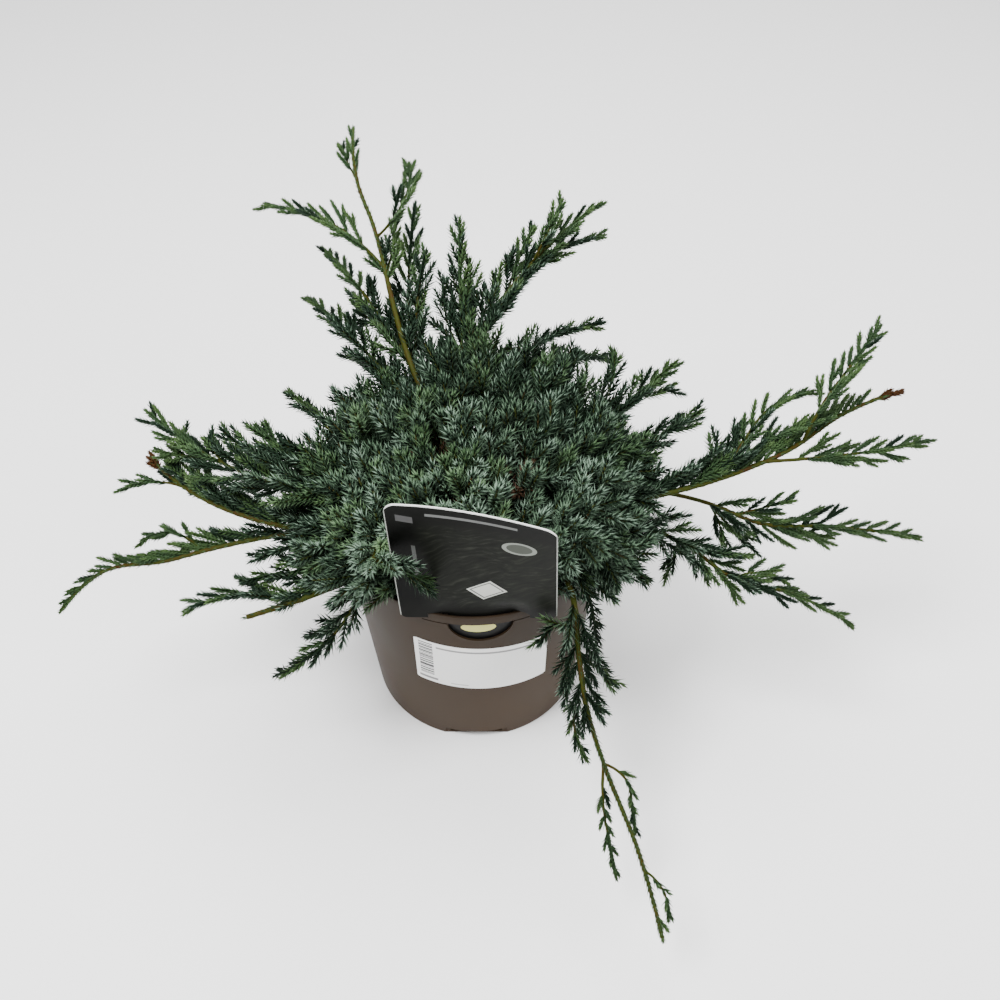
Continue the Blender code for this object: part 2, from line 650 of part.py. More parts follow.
def heart_line(core, index, count):
    """The line of one of a number of sprays spread evenly over the upper part of a core."""
    centre, turn, half = core
    spin = np.array(((math.cos(turn), -math.sin(turn), 0), (math.sin(turn), math.cos(turn), 0), (0, 0, 1)))
    angle = math.pi * (3 - math.sqrt(5)) * index
    height = 1 - 1.15 * (index + 0.5) / count
    flat = math.sqrt(1 - height ** 2)
    surface = (np.array((flat * math.cos(angle), flat * math.sin(angle), height)) * half) @ spin.T
    direction = surface / np.linalg.norm(surface) + np.array((0, 0, 0.25))
    direction /= np.linalg.norm(direction)
    return np.linspace(centre + 0.3 * surface, centre + surface + direction * HEART_REACH, 4)


def plan_plant():
    """All limbs as (name, path, radii) and all masses as Shoots."""
    limbs = []
    shoots = []
    for name, (height, way_points, radius, bare, leafy) in LEADERS.items():
        way_points = [place(*way_point) for way_point in way_points]
        start = root_on_trunk(way_points, height * MM, radius * MM)
        path = flowing([start, *way_points])
        branches = []
        for bearer, share, branch_points in BRANCHES.values():
            if bearer == name:
                root = point_along(path, share)[0]
                branches.append(flowing([root, *(place(*way_point) for way_point in branch_points)]))
        if bare:
            radii = np.linspace(radius, radius * (1 - STEM_TAPER * bare), BOUGH_KNOTS) * MM
            limbs.append((f"bough_{name}", stretch(path, 0, bare, BOUGH_KNOTS), radii))
            total = lengths_along(path)[-1]
            path = stretch(path, bare + GAP / total, 1, PATH_STEPS)
            leafy = (leafy - bare) / (1 - bare)
            radius = radii[-1] / MM
        cut = name in CUT_LEADERS
        shoots.append(Shoot(name, path, radius * MM, leafy, cut=cut, branches=branches))
    for number, (heading, reach, height, out, wide, high) in enumerate(HEARTS):
        centre = place(heading, reach, height)
        tip = place(heading, reach + out * 0.6, height + high * 0.3)
        root_height = min(180 * MM, max(150 * MM, centre[2] - HEART_ROOT_DROP))
        start = root_on_trunk([centre, tip], root_height, HEART_STEM_RADIUS)
        if reach < 10:
            top = TRUNK_RINGS[-1][0] * MM
            start = trunk_centre(top) + np.array((0, 0, GAP))
            tip = centre + np.array((0, 0, high * 0.5 * MM))
        core = (centre, math.radians(heading), np.array((out, wide, high)) * MM)
        line = np.linspace(start, tip, PATH_STEPS)
        branches = [heart_line(core, index, HEART_LINES) for index in range(HEART_LINES)]
        name = f"heart_{number + 1}"
        shoots.append(Shoot(name, line, HEART_STEM_RADIUS, 0.5, core=core, branches=branches))
    return limbs, shoots


class Space:
    """Tells whether points lie in a mass's own space, clear of limbs, pot and card."""

    def __init__(self, limbs, shoots):
        self.shoots = shoots
        self.limbs = [(path, max(radii)) for _, path, radii in limbs]
        trunk = np.array([trunk_centre(ring[0] * MM) for ring in TRUNK_RINGS])
        self.limbs.append((trunk, 8.6 * MM))

    def holds(self, points, own):
        points = np.atleast_2d(points)
        inside = self.clear_of_pot(points)
        for path, radius in self.limbs:
            inside &= distance_to(points, path) > radius + LIMB_MARGIN
        to_own = distance_to_lines(points, own.leafy)
        for other in self.shoots:
            if other is own:
                continue
            inside &= to_own + SPACE_MARGIN < distance_to_lines(points, other.leafy)
            if other.bare is not None:
                inside &= distance_to(points, other.bare) > other.root_radius * 1.3 + LIMB_MARGIN
        return inside

    @staticmethod
    def clear_of_pot(points):
        x, y, z = points.T
        reach = np.hypot(x, y)
        outside = (z > POT_HEIGHT + 2 * MM) | (reach > POT_TOP_RADIUS + 2 * MM)
        above_compost = (z > COMPOST_CROWN + 2 * MM) & (reach < pot_radius(COMPOST_EDGE) - 6 * MM)
        lean = CARD_LEAN + CARD_TWIST * (x - CARD_SHIFT) / (CARD_WIDTH / 2)
        before_card = -y - CARD_SETBACK + (z - POT_HEIGHT) * np.tan(lean)
        beside_card = abs(x - CARD_MIDDLE) > CARD_WIDTH / 2 + 5 * MM
        over_card = z > CARD_FOOT + CARD_HEIGHT + CARD_ARCH + 4 * MM
        in_view = (before_card > 0) & (abs(x - CARD_MIDDLE) < CARD_WIDTH / 2 - 26 * MM)
        off_card = beside_card | over_card | (before_card < -4 * MM) | ((before_card > 2 * MM) & ~in_view)
        return (outside | above_compost) & off_card & (z > 8 * MM)


def ring_points(centre, heading, radius, turn, sides=3):
    side, up = side_and_up(heading)
    angles = turn + np.arange(sides) * math.tau / sides
    return [centre + radius * (math.cos(a) * up + math.sin(a) * side) for a in angles]


def loft(rings, root_point=None, tip_point=None):
    """A closed mesh through rings of three points, with a pointed or flat end each way."""
    work = bmesh.new()
    loops = [[work.verts.new(point) for point in ring] for ring in rings]
    for low, high in zip(loops, loops[1:]):
        for i in range(3):
            j = (i + 1) % 3
            work.faces.new((low[i], low[j], high[i]))
            work.faces.new((low[j], high[j], high[i]))
    for loop, point, forward in ((loops[0], root_point, False), (loops[-1], tip_point, True)):
        if point is None:
            work.faces.new(loop if forward else loop[::-1])
            continue
        end = work.verts.new(point)
        for i in range(3):
            j = (i + 1) % 3
            work.faces.new((loop[i], loop[j], end) if forward else (loop[j], loop[i], end))
    bmesh.ops.recalc_face_normals(work, faces=work.faces)
    mesh = bpy.data.meshes.new("loft")
    work.to_mesh(mesh)
    work.free()
    return mesh


def whorl_rings(path, start, end, whorls, reach, twig, first_turn=0.0):
    """Rings of needles in whorls of three: a narrow ring, then a wide one of needle tips."""
    rings = []
    for index in range(whorls):
        low = start + (end - start) * index / whorls
        high = start + (end - start) * (index + 0.86) / whorls
        turn = first_turn + index * math.pi / 3
        shrink = 1 - 0.5 * (index / whorls) ** 1.5
        for share, radius in ((low, twig), (high, reach * shrink)):
            point, heading = point_along(path, share)
            rings.append(ring_points(point, heading, radius, turn))
    return rings


def spray_mesh(path, whorls, reach, root_share, spin):
    """A side spray: a pointed root, whorls of needles and a pointed tip."""
    rings = whorl_rings(path, root_share, 0.93, whorls, reach, TWIG_RADIUS, spin)
    return loft(rings, root_point=path[0], tip_point=path[-1])


def stem_mesh(shoot):
    """A shoot's own stem, with its end spray unless it is cut or ends in a core."""
    whole = shoot.cut or shoot.core is not None
    last = shoot.knots if whole else shoot.knots - 1
    rings = []
    for knot in range(last + 1):
        share = knot / shoot.knots
        if knot in (0, shoot.knots):
            heading = point_along(shoot.path, share)[1]
        else:
            heading = shoot.path[knot + 1] - shoot.path[knot - 1]
            heading = heading / np.linalg.norm(heading)
        radius = shoot.root_radius * (1 - STEM_TAPER * share) * 1.15
        rings.append(ring_points(shoot.path[knot], heading, radius, 0))
    if whole:
        return loft(rings)
    length = shoot.length / shoot.knots
    whorls = max(2, round(length / WHORL_PITCH))
    start = last / shoot.knots
    rings = rings[:-1] + whorl_rings(shoot.path, start, 0.985, whorls, NEEDLE_REACH, TWIG_RADIUS)
    return loft(rings, tip_point=shoot.path[-1])


def spray_points(path, reach):
    """Points that show how much room a spray takes."""
    points = [path[-1]]
    for share in (0.35, 0.6, 0.85):
        point, heading = point_along(path, share)
        points += ring_points(point, heading, reach, 0, sides=4)
    return np.array(points)


def fitting_spray(shoot, line, space, dice, share, hand, length):
    """The path of one side spray, turned and shortened until it fits its space, or None."""
    point, heading = point_along(line, share)
    side, up = side_and_up(heading)
    t = np.linspace(0, 1, 4)[:, None]
    for trial in range(SPRAY_TRIALS):
        roll = math.radians(dice.uniform(-35, 50))
        angle = math.radians(SPRAY_ANGLE + dice.uniform(-8, 8))
        outwards = hand * math.cos(roll) * side + math.sin(roll) * up
        direction = math.cos(angle) * heading + math.sin(angle) * outwards
        path = point + length * (direction * t + 0.10 * heading * t ** 2)
        if space.holds(spray_points(path, NEEDLE_REACH), shoot).all():
            return path
        if trial % 3 == 2:
            length *= 0.8
            hand = -hand
    return None


def sprays_along(shoot, line, first, last, space, dice):
    """Paths of the side sprays along a stem or a branch, left and right in turn."""
    whole = lengths_along(line)[-1]
    count = max(1, round(whole * (last - first) / SPRAY_PITCH))
    hand = dice.choice((-1, 1))
    sprays = []
    for index in range(count):
        share = first + (last - first) * (index + 0.3) / count
        hand = -hand
        length = (SPRAY_SHARE * whole * (1 - share) + SPRAY_END) * dice.uniform(0.85, 1.15)
        length = min(SPRAY_LONGEST, max(SPRAY_SHORTEST, length))
        path = fitting_spray(shoot, line, space, dice, share, hand, length)
        if path is not None:
            sprays.append(path)
    return sprays


def branch_mesh(shoot, line, space, spin):
    """A branch with whorls of needles, which are drawn in where the mass's space is narrow."""
    length = lengths_along(line)[-1]
    whorls = max(2, round(length * (1 - BRANCH_LEAFY_FROM) / WHORL_PITCH))
    rings = whorl_rings(line, BRANCH_LEAFY_FROM, 0.95, whorls, NEEDLE_REACH, TWIG_RADIUS, spin)
    for index in range(1, len(rings), 2):
        middle = np.mean(rings[index], axis=0)
        ring = np.array(rings[index])
        while not space.holds(ring, shoot).all() and np.linalg.norm(ring[0] - middle) > 1.4 * TWIG_RADIUS:
            ring = middle + (ring - middle) * 0.8
        rings[index] = list(ring)
    return loft(rings, root_point=line[0], tip_point=line[-1])


def core_mesh(shoot, space):
    """A dense mass's core: an ellipsoid drawn in wherever it would leave the mass's space."""
    centre, turn, half = shoot.core
    spin = np.array(((math.cos(turn), -math.sin(turn), 0), (math.sin(turn), math.cos(turn), 0), (0, 0, 1)))
    probe = bmesh.new()
    bmesh.ops.create_icosphere(probe, subdivisions=4, radius=1)
    directions = np.array([vertex.co[:] for vertex in probe.verts])
    probe.free()
    shares = np.linspace(0.1, 1, 19)
    rays = (directions * half) @ spin.T
    samples = centre + rays[:, None, :] * shares[None, :, None]
    good = space.holds(samples.reshape(-1, 3), shoot).reshape(len(directions), -1)
    reach = shares[np.maximum(0, np.cumprod(good, axis=1).sum(1) - 1)]
    work = bmesh.new()
    bmesh.ops.create_icosphere(work, subdivisions=2, radius=1)
    for vertex in work.verts:
        near = directions @ np.array(vertex.co[:]) > math.cos(math.radians(34))
        share = CORE_FILL * reach[near].min()
        vertex.co = Vector(centre + (np.array(vertex.co[:]) * half) @ spin.T * share)
    mesh = bpy.data.meshes.new("core")
    work.to_mesh(mesh)
    work.free()
    return mesh


def heart_sprays(shoot, space):
    """Paths of the sprays that stand out of a dense mass's core, shortened where room is short."""
    sprays = []
    for index in range(HEART_TRIALS):
        line = heart_line(shoot.core, index, HEART_TRIALS)
        if any(np.linalg.norm(line[-1] - spray[-1]) < HEART_PITCH for spray in sprays):
            continue
        for share in (1, 0.85, 0.7, 0.55):
            path = line[0] + (line - line[0]) * share
            if space.holds(spray_points(path, NEEDLE_REACH), shoot).all():
                sprays.append(path)
                break
    return sprays


def largest_shell(mesh):
    """Keep a mesh's largest shell: a sealed hollow is filled and a loose scrap is dropped."""
    work = bmesh.new()
    work.from_mesh(mesh)
    seen = set()
    shells = []
    for face in work.faces:
        if face in seen:
            continue
        shell = []
        front = [face]
        seen.add(face)
        while front:
            current = front.pop()
            shell.append(current)
            for edge in current.edges:
                for neighbour in edge.link_faces:
                    if neighbour not in seen:
                        seen.add(neighbour)
                        front.append(neighbour)
        shells.append(shell)
    shells.sort(key=lambda shell: sum(face.calc_area() for face in shell), reverse=True)
    extra = [face for shell in shells[1:] for face in shell]
    bmesh.ops.delete(work, geom=extra, context="FACES")
    bmesh.ops.remove_doubles(work, verts=work.verts, dist=0.0002 * MM)
    closed = all(len(edge.link_faces) == 2 for edge in work.edges)
    bmesh.ops.triangulate(work, faces=work.faces)
    work.to_mesh(mesh)
    work.free()
    return closed


def fuse(name, stem, pieces, parts, surface):
    """Join a stem and its pieces into one closed solid with a Boolean union on a collection."""
    if not pieces:
        return add_object(name, stem, parts, surface)
    for solver in ("EXACT", "MANIFOLD"):
        group = new_collection(name + " pieces")
        for piece in pieces:
            add_object("piece", piece.copy(), group)
        item = add_object(name, stem.copy(), parts, surface)
        union = item.modifiers.new("Union", "BOOLEAN")
        union.operation = "UNION"
        union.operand_type = "COLLECTION"
        union.collection = group
        union.solver = solver
        graph = bpy.context.evaluated_depsgraph_get()
        joined = bpy.data.meshes.new_from_object(item.evaluated_get(graph))
        item.modifiers.remove(union)
        item.data = joined
        for piece in list(group.objects):
            bpy.data.objects.remove(piece, do_unlink=True)
        bpy.data.collections.remove(group)
        if largest_shell(joined):
            return item
        bpy.data.objects.remove(item, do_unlink=True)
    return fuse(name, stem, pieces[:-1], parts, surface)


def make_plant(parts, bark, needles):
    trunk_points = [trunk_centre(ring[0] * MM) for ring in TRUNK_RINGS]
    make_limb("trunk", trunk_points, [ring[2] * MM for ring in TRUNK_RINGS], parts, bark, 6)
    limbs, shoots = plan_plant()
    for name, path, radii in limbs:
        make_limb(name, path, radii, parts, bark)
    space = Space(limbs, shoots)
    for index, shoot in enumerate(shoots):
        dice = random.Random(SEED + index)
        pieces = []
        root_share = SPRAY_ROOT
        if shoot.core:
            pieces.append(core_mesh(shoot, space))
            paths = heart_sprays(shoot, space)
            root_share = HEART_ROOT
        else:
            last = LAST_SPRAY_OF_CUT if shoot.cut else LAST_SPRAY
            paths = sprays_along(shoot, shoot.path, shoot.leafy_from, last, space, dice)
            for branch in shoot.branches:
                pieces.append(branch_mesh(shoot, branch, space, dice.uniform(0, 1)))
                if lengths_along(branch)[-1] > SHORTEST_BEARER:
                    paths += sprays_along(shoot, branch, BRANCH_SPRAYS_FROM, LAST_SPRAY, space, dice)
        for path in paths:
            length = np.linalg.norm(path[-1] - path[0]) * (1 - root_share)
            whorls = 2 if shoot.core else max(2, min(MOST_WHORLS, round(length / WHORL_PITCH)))
            pieces.append(spray_mesh(path, whorls, NEEDLE_REACH, root_share, dice.uniform(0, 1)))
        fuse("foliage_" + shoot.name, stem_mesh(shoot), pieces, parts, needles)


def main():
    clear_scene()
    parts = new_collection("potted_flaky_juniper")
    make_pot(parts, new_material("pot", 0.5))
    make_compost(parts, new_material("compost", 0.95))
    make_card(parts, new_material("card", 0.3))
    make_label(parts, new_material("label", 0.6))
    make_plant(parts, new_material("bark", 0.8), new_material("needles", 0.6))


main()
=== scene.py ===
"""A potted blue carpet flaky juniper: a low conifer with blue-green needles in a taupe plastic pot."""

import json
import math
import random

import bpy
import numpy as np
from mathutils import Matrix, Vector, noise


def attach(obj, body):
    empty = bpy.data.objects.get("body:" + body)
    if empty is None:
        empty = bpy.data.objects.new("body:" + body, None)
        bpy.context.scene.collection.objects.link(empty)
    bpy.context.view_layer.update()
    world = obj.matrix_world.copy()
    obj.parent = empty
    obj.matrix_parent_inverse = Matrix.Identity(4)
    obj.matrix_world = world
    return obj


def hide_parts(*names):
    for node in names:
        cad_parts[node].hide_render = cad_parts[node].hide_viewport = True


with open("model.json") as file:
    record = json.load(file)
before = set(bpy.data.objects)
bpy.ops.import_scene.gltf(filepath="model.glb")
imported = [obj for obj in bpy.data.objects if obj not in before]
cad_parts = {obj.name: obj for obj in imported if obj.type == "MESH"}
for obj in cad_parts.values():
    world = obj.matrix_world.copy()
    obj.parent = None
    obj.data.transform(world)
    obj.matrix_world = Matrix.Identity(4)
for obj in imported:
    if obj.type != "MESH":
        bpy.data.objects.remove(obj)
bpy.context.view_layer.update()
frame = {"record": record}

MM = 0.001
record = frame["record"]
material_slots = {part["node"]: part["material_slot"] for part in record["subparts"]}


# Camera and light. The pot stands on a pale floor under a large soft light, and the camera looks
# down on it at 45 degrees, as the photographer did with the pot on a table in front of them.
bpy.ops.object.select_all(action="DESELECT")
bpy.ops.object.camera_add(location=(0.0174, -0.5144, 0.6751), rotation=(math.radians(45.4), 0, 0))
camera = bpy.context.object
camera.name = "camera"
camera.data.sensor_width = 36
camera.data.lens = 38.6
bpy.context.scene.camera = camera

bpy.ops.mesh.primitive_plane_add(size=12, location=(0, 0, -0.0002))
floor = bpy.context.object
floor.name = "floor"
floor_paint = bpy.data.materials.new("floor")
floor_paint.use_nodes = True
floor_shader = floor_paint.node_tree.nodes["Principled BSDF"]
floor_shader.inputs["Base Color"].default_value = (0.93, 0.93, 0.93, 1)
floor_shader.inputs["Roughness"].default_value = 0.9
floor.data.materials.append(floor_paint)

for lamp_name, place_of_lamp, aim, width, power in (
    ("key_light", (-0.7, -0.5, 1.9), (0, 0, 0.15), 0.9, 76),
    ("top_light", (0.4, 0.7, 2.0), (0, 0, 0.1), 1.6, 46),
    ("right_light", (1.5, -0.9, 1.1), (0, 0, 0.15), 1.2, 20),
):
    bpy.ops.object.light_add(type="AREA", location=place_of_lamp)
    lamp = bpy.context.object
    lamp.name = lamp_name
    lamp.data.shape = "DISK"
    lamp.data.size = width
    lamp.data.energy = power
    lamp.rotation_euler = (Vector(aim) - Vector(place_of_lamp)).to_track_quat("-Z", "Y").to_euler()

world = bpy.data.worlds.new("studio")
world.use_nodes = True
world.node_tree.nodes["Background"].inputs["Color"].default_value = (1, 1, 1, 1)
world.node_tree.nodes["Background"].inputs["Strength"].default_value = 0.75
bpy.context.scene.world = world


# Pot. A thin taupe polypropylene nursery pot, injection moulded, with a half-moon card slot under
# its rim, three drain notches in its foot and a faint seam up its front. Its wall is painted darker
# towards the top, painted shade under the card and foliage.
POT_HEIGHT = 153 * MM
POT_TOP_RADIUS = 90 * MM
POT_BASE_RADIUS = 76.25 * MM
POT_WALL = 1.6 * MM
SLOT_TURN = math.radians(3.4)
SLOT_TOP = 145 * MM
SLOT_SIZE = (42 * MM, 18 * MM)
SLIT_SIZE = (74 * MM, 30 * MM, 0.9 * MM)
NOTCH_SIZE = (17.5 * MM, 45 * MM, 14 * MM)
NOTCH_REACH = 81.25 * MM
POT_RINGS = (3 * MM, 9 * MM, 40 * MM, 80 * MM, 118 * MM, 148 * MM, POT_HEIGHT)


def pot_radius(height):
    """Outer radius of the pot's wall at a height."""
    return POT_BASE_RADIUS + (POT_TOP_RADIUS - POT_BASE_RADIUS) * height / POT_HEIGHT


def choose_faces(item, wanted):
    """Go into edit mode with only the faces selected that a test wants."""
    bpy.ops.object.mode_set(mode="EDIT")
    bpy.ops.mesh.select_mode(type="FACE")
    bpy.ops.mesh.select_all(action="DESELECT")
    bpy.ops.object.mode_set(mode="OBJECT")
    for face in item.data.polygons:
        face.select = wanted(face)
    bpy.ops.object.mode_set(mode="EDIT")


bpy.ops.object.select_all(action="DESELECT")
bpy.ops.mesh.primitive_circle_add(vertices=144, radius=POT_BASE_RADIUS, fill_type="NOTHING")
pot = bpy.context.object
pot.name = "pot_shell"
bpy.ops.object.mode_set(mode="EDIT")
bpy.ops.mesh.select_all(action="SELECT")
below = 0
for height in POT_RINGS:
    bpy.ops.mesh.extrude_region_move(TRANSFORM_OT_translate={"value": (0, 0, height - below)})
    wider = pot_radius(height) / pot_radius(below)
    bpy.ops.transform.resize(value=(wider, wider, 1), center_override=(0, 0, height))
    below = height
bpy.ops.mesh.select_all(action="SELECT")
bpy.ops.mesh.fill_holes(sides=0)
bpy.ops.mesh.normals_make_consistent(inside=False)
bpy.ops.object.mode_set(mode="OBJECT")
choose_faces(pot, lambda face: face.normal.z > 0.9)
bpy.ops.mesh.delete(type="FACE")
bpy.ops.object.mode_set(mode="OBJECT")
wall = pot.modifiers.new("wall", "SOLIDIFY")
wall.thickness = POT_WALL
wall.offset = -1
wall.use_even_offset = True
bpy.ops.object.modifier_apply(modifier="wall")
edges = pot.modifiers.new("edges", "BEVEL")
edges.width = 0.6 * MM
edges.segments = 3
edges.limit_method = "ANGLE"
edges.angle_limit = math.radians(40)
bpy.ops.object.modifier_apply(modifier="edges")

cutters = []
slot_way = Vector((math.sin(SLOT_TURN), -math.cos(SLOT_TURN), 0))
bpy.ops.object.select_all(action="DESELECT")
bpy.ops.mesh.primitive_circle_add(vertices=96, radius=SLOT_SIZE[0] / 2, fill_type="NGON")
half_moon = bpy.context.object
for point in half_moon.data.vertices:
    point.co.y = min(0, point.co.y) * SLOT_SIZE[1] / (SLOT_SIZE[0] / 2)
bpy.ops.object.mode_set(mode="EDIT")
bpy.ops.mesh.select_all(action="SELECT")
bpy.ops.mesh.extrude_region_move(TRANSFORM_OT_translate={"value": (0, 0, SLIT_SIZE[1])})
bpy.ops.mesh.select_all(action="SELECT")
bpy.ops.mesh.normals_make_consistent(inside=False)
bpy.ops.object.mode_set(mode="OBJECT")
half_moon.location = slot_way * 75 * MM + Vector((0, 0, SLOT_TOP))
half_moon.rotation_euler = (math.radians(90), 0, SLOT_TURN)
cutters.append(half_moon)
bpy.ops.mesh.primitive_cube_add(size=1, location=slot_way * 90 * MM + Vector((0, 0, SLOT_TOP - SLIT_SIZE[2] / 2)),
                                rotation=(0, 0, SLOT_TURN))
bpy.context.object.scale = SLIT_SIZE
cutters.append(bpy.context.object)
for turn in (-90, 30, 150):
    angle = math.radians(turn)
    bpy.ops.mesh.primitive_cube_add(size=1, location=(NOTCH_REACH * math.cos(angle), NOTCH_REACH * math.sin(angle), 0),
                                    rotation=(0, 0, angle))
    bpy.context.object.scale = NOTCH_SIZE
    cutters.append(bpy.context.object)
bpy.ops.object.select_all(action="DESELECT")
pot.select_set(True)
bpy.context.view_layer.objects.active = pot
for cutter in cutters:
    cut = pot.modifiers.new("cut", "BOOLEAN")
    cut.operation = "DIFFERENCE"
    cut.solver = "EXACT"
    cut.object = cutter
    bpy.ops.object.modifier_apply(modifier="cut")
    bpy.data.objects.remove(cutter)
bpy.ops.object.shade_smooth_by_angle(angle=math.radians(30))


class Strand:
    """A socket of a finish, with sums and products that add their Math nodes."""

    def __init__(self, finish, socket):
        self.finish = finish
        self.socket = socket

    def joined(self, operation, first, second):
        return self.finish.add("ShaderNodeMath", {"operation": operation}, {0: first, 1: second})

    def __add__(self, other):
        return self.joined("ADD", self, other)

    def __radd__(self, other):
        return self.joined("ADD", other, self)

    def __sub__(self, other):
        return self.joined("SUBTRACT", self, other)

    def __rsub__(self, other):
        return self.joined("SUBTRACT", other, self)

    def __mul__(self, other):
        return self.joined("MULTIPLY", self, other)

    def __rmul__(self, other):
        return self.joined("MULTIPLY", other, self)

    def __truediv__(self, other):
        return self.joined("DIVIDE", self, other)

    def __gt__(self, other):
        return self.joined("GREATER_THAN", self, other)

    def __lt__(self, other):
        return self.joined("LESS_THAN", self, other)

    def __abs__(self):
        return self.finish.add("ShaderNodeMath", {"operation": "ABSOLUTE"}, {0: self})


class Finish:
    """A material that is built up node by node round one shader."""

    def __init__(self, name):
        self.material = bpy.data.materials.new(name)
        self.material.use_nodes = True
        self.tree = self.material.node_tree
        self.shader = self.tree.nodes["Principled BSDF"]

    def add(self, kind, settings=None, sockets=None, out=0):
        node = self.tree.nodes.new(kind)
        for name, setting in (settings or {}).items():
            if name == "stops":
                ramp = node.color_ramp
                while len(ramp.elements) < len(setting):
                    ramp.elements.new(0.5)
                for element, (position, colour) in zip(ramp.elements, setting):
                    element.position = position
                    element.color = (*colour, 1)
            else:
                setattr(node, name, setting)
        for key, given in (sockets or {}).items():
            if isinstance(given, Strand):
                self.tree.links.new(given.socket, node.inputs[key])
            else:
                node.inputs[key].default_value = given
        return Strand(self, node.outputs[out])

    def surface(self, **sockets):
        """Feed the shader: spaces in its socket names are written as underscores."""
        for key, given in sockets.items():
            socket = self.shader.inputs[key.replace("_", " ")]
            if isinstance(given, Strand):
                self.tree.links.new(given.socket, socket)
            else:
                socket.default_value = given
        return self.material

    def place(self):
        return self.add("ShaderNodeTexCoord", out=3)

    def axis(self, vector, index):
        return self.add("ShaderNodeSeparateXYZ", None, {0: vector}, out=index)

    def clouds(self, vector, scale, detail=4.0, roughness=0.55):
        return self.add("ShaderNodeTexNoise", None,
                        {"Vector": vector, "Scale": scale, "Detail": detail, "Roughness": roughness})

    def stretched(self, vector, scale):
        return self.add("ShaderNodeMapping", None, {"Vector": vector, "Scale": scale})

    def mixed(self, factor, low, high):
        mix = {"data_type": "RGBA"}
        return self.add("ShaderNodeMix", mix, {0: factor, 6: low, 7: high}, out=2)

    def ramped(self, value, stops):
        return self.add("ShaderNodeValToRGB", {"stops": stops}, {0: value})

    def bumped(self, height, strength, distance):
        return self.add("ShaderNodeBump", None, {"Height": height, "Strength": strength, "Distance": distance})


moulding = Finish("taupe_moulded_plastic")
spot = moulding.place()
drag = moulding.clouds(moulding.stretched(spot, (300, 300, 60)), 1.0, 3.0)
bloom = moulding.clouds(spot, 14.0, 5.0)
grit = moulding.clouds(spot, 900.0, 2.0)
seam = abs(moulding.axis(spot, 0) - 0.0085) < 0.0006
front_side = moulding.axis(spot, 1) < -0.05
# Random mottle plus painted shade: the wall's colour darkens towards its top, as if shaded by the card and foliage.
bloom_and_painted_shade = bloom * 0.9 + drag * 0.05 - (moulding.axis(spot, 2) - 0.085) * 6.0
taupe = moulding.mixed(bloom_and_painted_shade, (0.0170, 0.0104, 0.0052, 1), (0.0420, 0.0262, 0.0148, 1))
pot_material = moulding.surface(
    Base_Color=taupe,
    Roughness=0.40 + bloom * 0.22,
    Specular_IOR_Level=0.10,
    Normal=moulding.bumped(drag * 0.2 + grit * 0.3 + seam * front_side * 1.2, 0.25, 0.0002),
)
pot.data.materials.append(pot_material)
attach(pot, "root")
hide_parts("pot")


# Compost. Dark moist peat-free compost pressed level in the pot, with crumbs and bits of bark on
# its surface, filling the pot to a finger's breadth below the rim.
COMPOST_RADIUS = 86.2 * MM
COMPOST_LEVEL = 137.2 * MM
bpy.ops.object.select_all(action="DESELECT")
bpy.ops.mesh.primitive_circle_add(vertices=96, radius=COMPOST_RADIUS, fill_type="NGON",
                                  location=(0, 0, COMPOST_LEVEL))
compost = bpy.context.object
compost.name = "compost_surface"
bpy.ops.object.mode_set(mode="EDIT")
bpy.ops.mesh.select_all(action="SELECT")
bpy.ops.mesh.extrude_region_move(TRANSFORM_OT_translate={"value": (0, 0, -125 * MM)})
bpy.ops.mesh.select_all(action="SELECT")
bpy.ops.mesh.normals_make_consistent(inside=False)
bpy.ops.object.mode_set(mode="OBJECT")
for point in compost.data.vertices:
    if point.co.z < -60 * MM:
        point.co.x *= 0.875
        point.co.y *= 0.875
choose_faces(compost, lambda face: face.normal.z > 0.9)
for _ in range(22):
    bpy.ops.mesh.inset(thickness=3.9 * MM)
bpy.ops.object.mode_set(mode="OBJECT")
bpy.ops.object.transform_apply(location=True, rotation=True, scale=True)
for point in compost.data.vertices:
    reach = math.hypot(point.co.x, point.co.y)
    if point.co.z > 130 * MM and reach < 84 * MM:
        crumb = noise.fractal(Vector((point.co.x, point.co.y, 0)) * 160, 0.6, 2.0, 4)
        point.co.z += crumb * 1.1 * MM
humus = Finish("moist_compost")
spot = humus.place()
crumbs = humus.add("ShaderNodeTexVoronoi", {"feature": "F1"}, {"Vector": spot, "Scale": 420.0})
fine = humus.clouds(spot, 700.0, 6.0, 0.7)
compost_material = humus.surface(
    Base_Color=humus.ramped(fine, ((0.3, (0.010, 0.007, 0.005)), (0.55, (0.030, 0.020, 0.013)),
                                   (0.8, (0.085, 0.058, 0.036)))),
    Roughness=0.9,
    Normal=humus.bumped(crumbs * 0.6 + fine * 0.6, 0.9, 0.0015),
)
compost.data.materials.append(compost_material)
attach(compost, "root")
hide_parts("compost")


# Plant card. A printed plastic card that carries the plant's care notes, stamped from one thin
# sheet, its tongue pushed down behind the slot in the pot's front and its foot resting on the rim.
CARD_TURN = math.radians(-0.9)
CARD_WIDTH = 98 * MM
CARD_HEIGHT = 100 * MM
CARD_SETBACK = 87.4 * MM
CARD_SHIFT = 5.5 * MM
CARD_SWAY = math.radians(2.3)
CARD_ARCH = 5 * MM
CARD_CORNER = 7 * MM
CARD_LEAN = math.radians(-7.8)
CARD_TWIST = math.radians(-6.7)
CARD_FOOT = POT_HEIGHT + 1 * MM
CARD_BLEND = 14 * MM
TONGUE_HALF_WIDTH = 20 * MM
SHOULDER_START = 32 * MM
SHOULDER_FOOT = 150 * MM
TONGUE_FOOT = 120 * MM


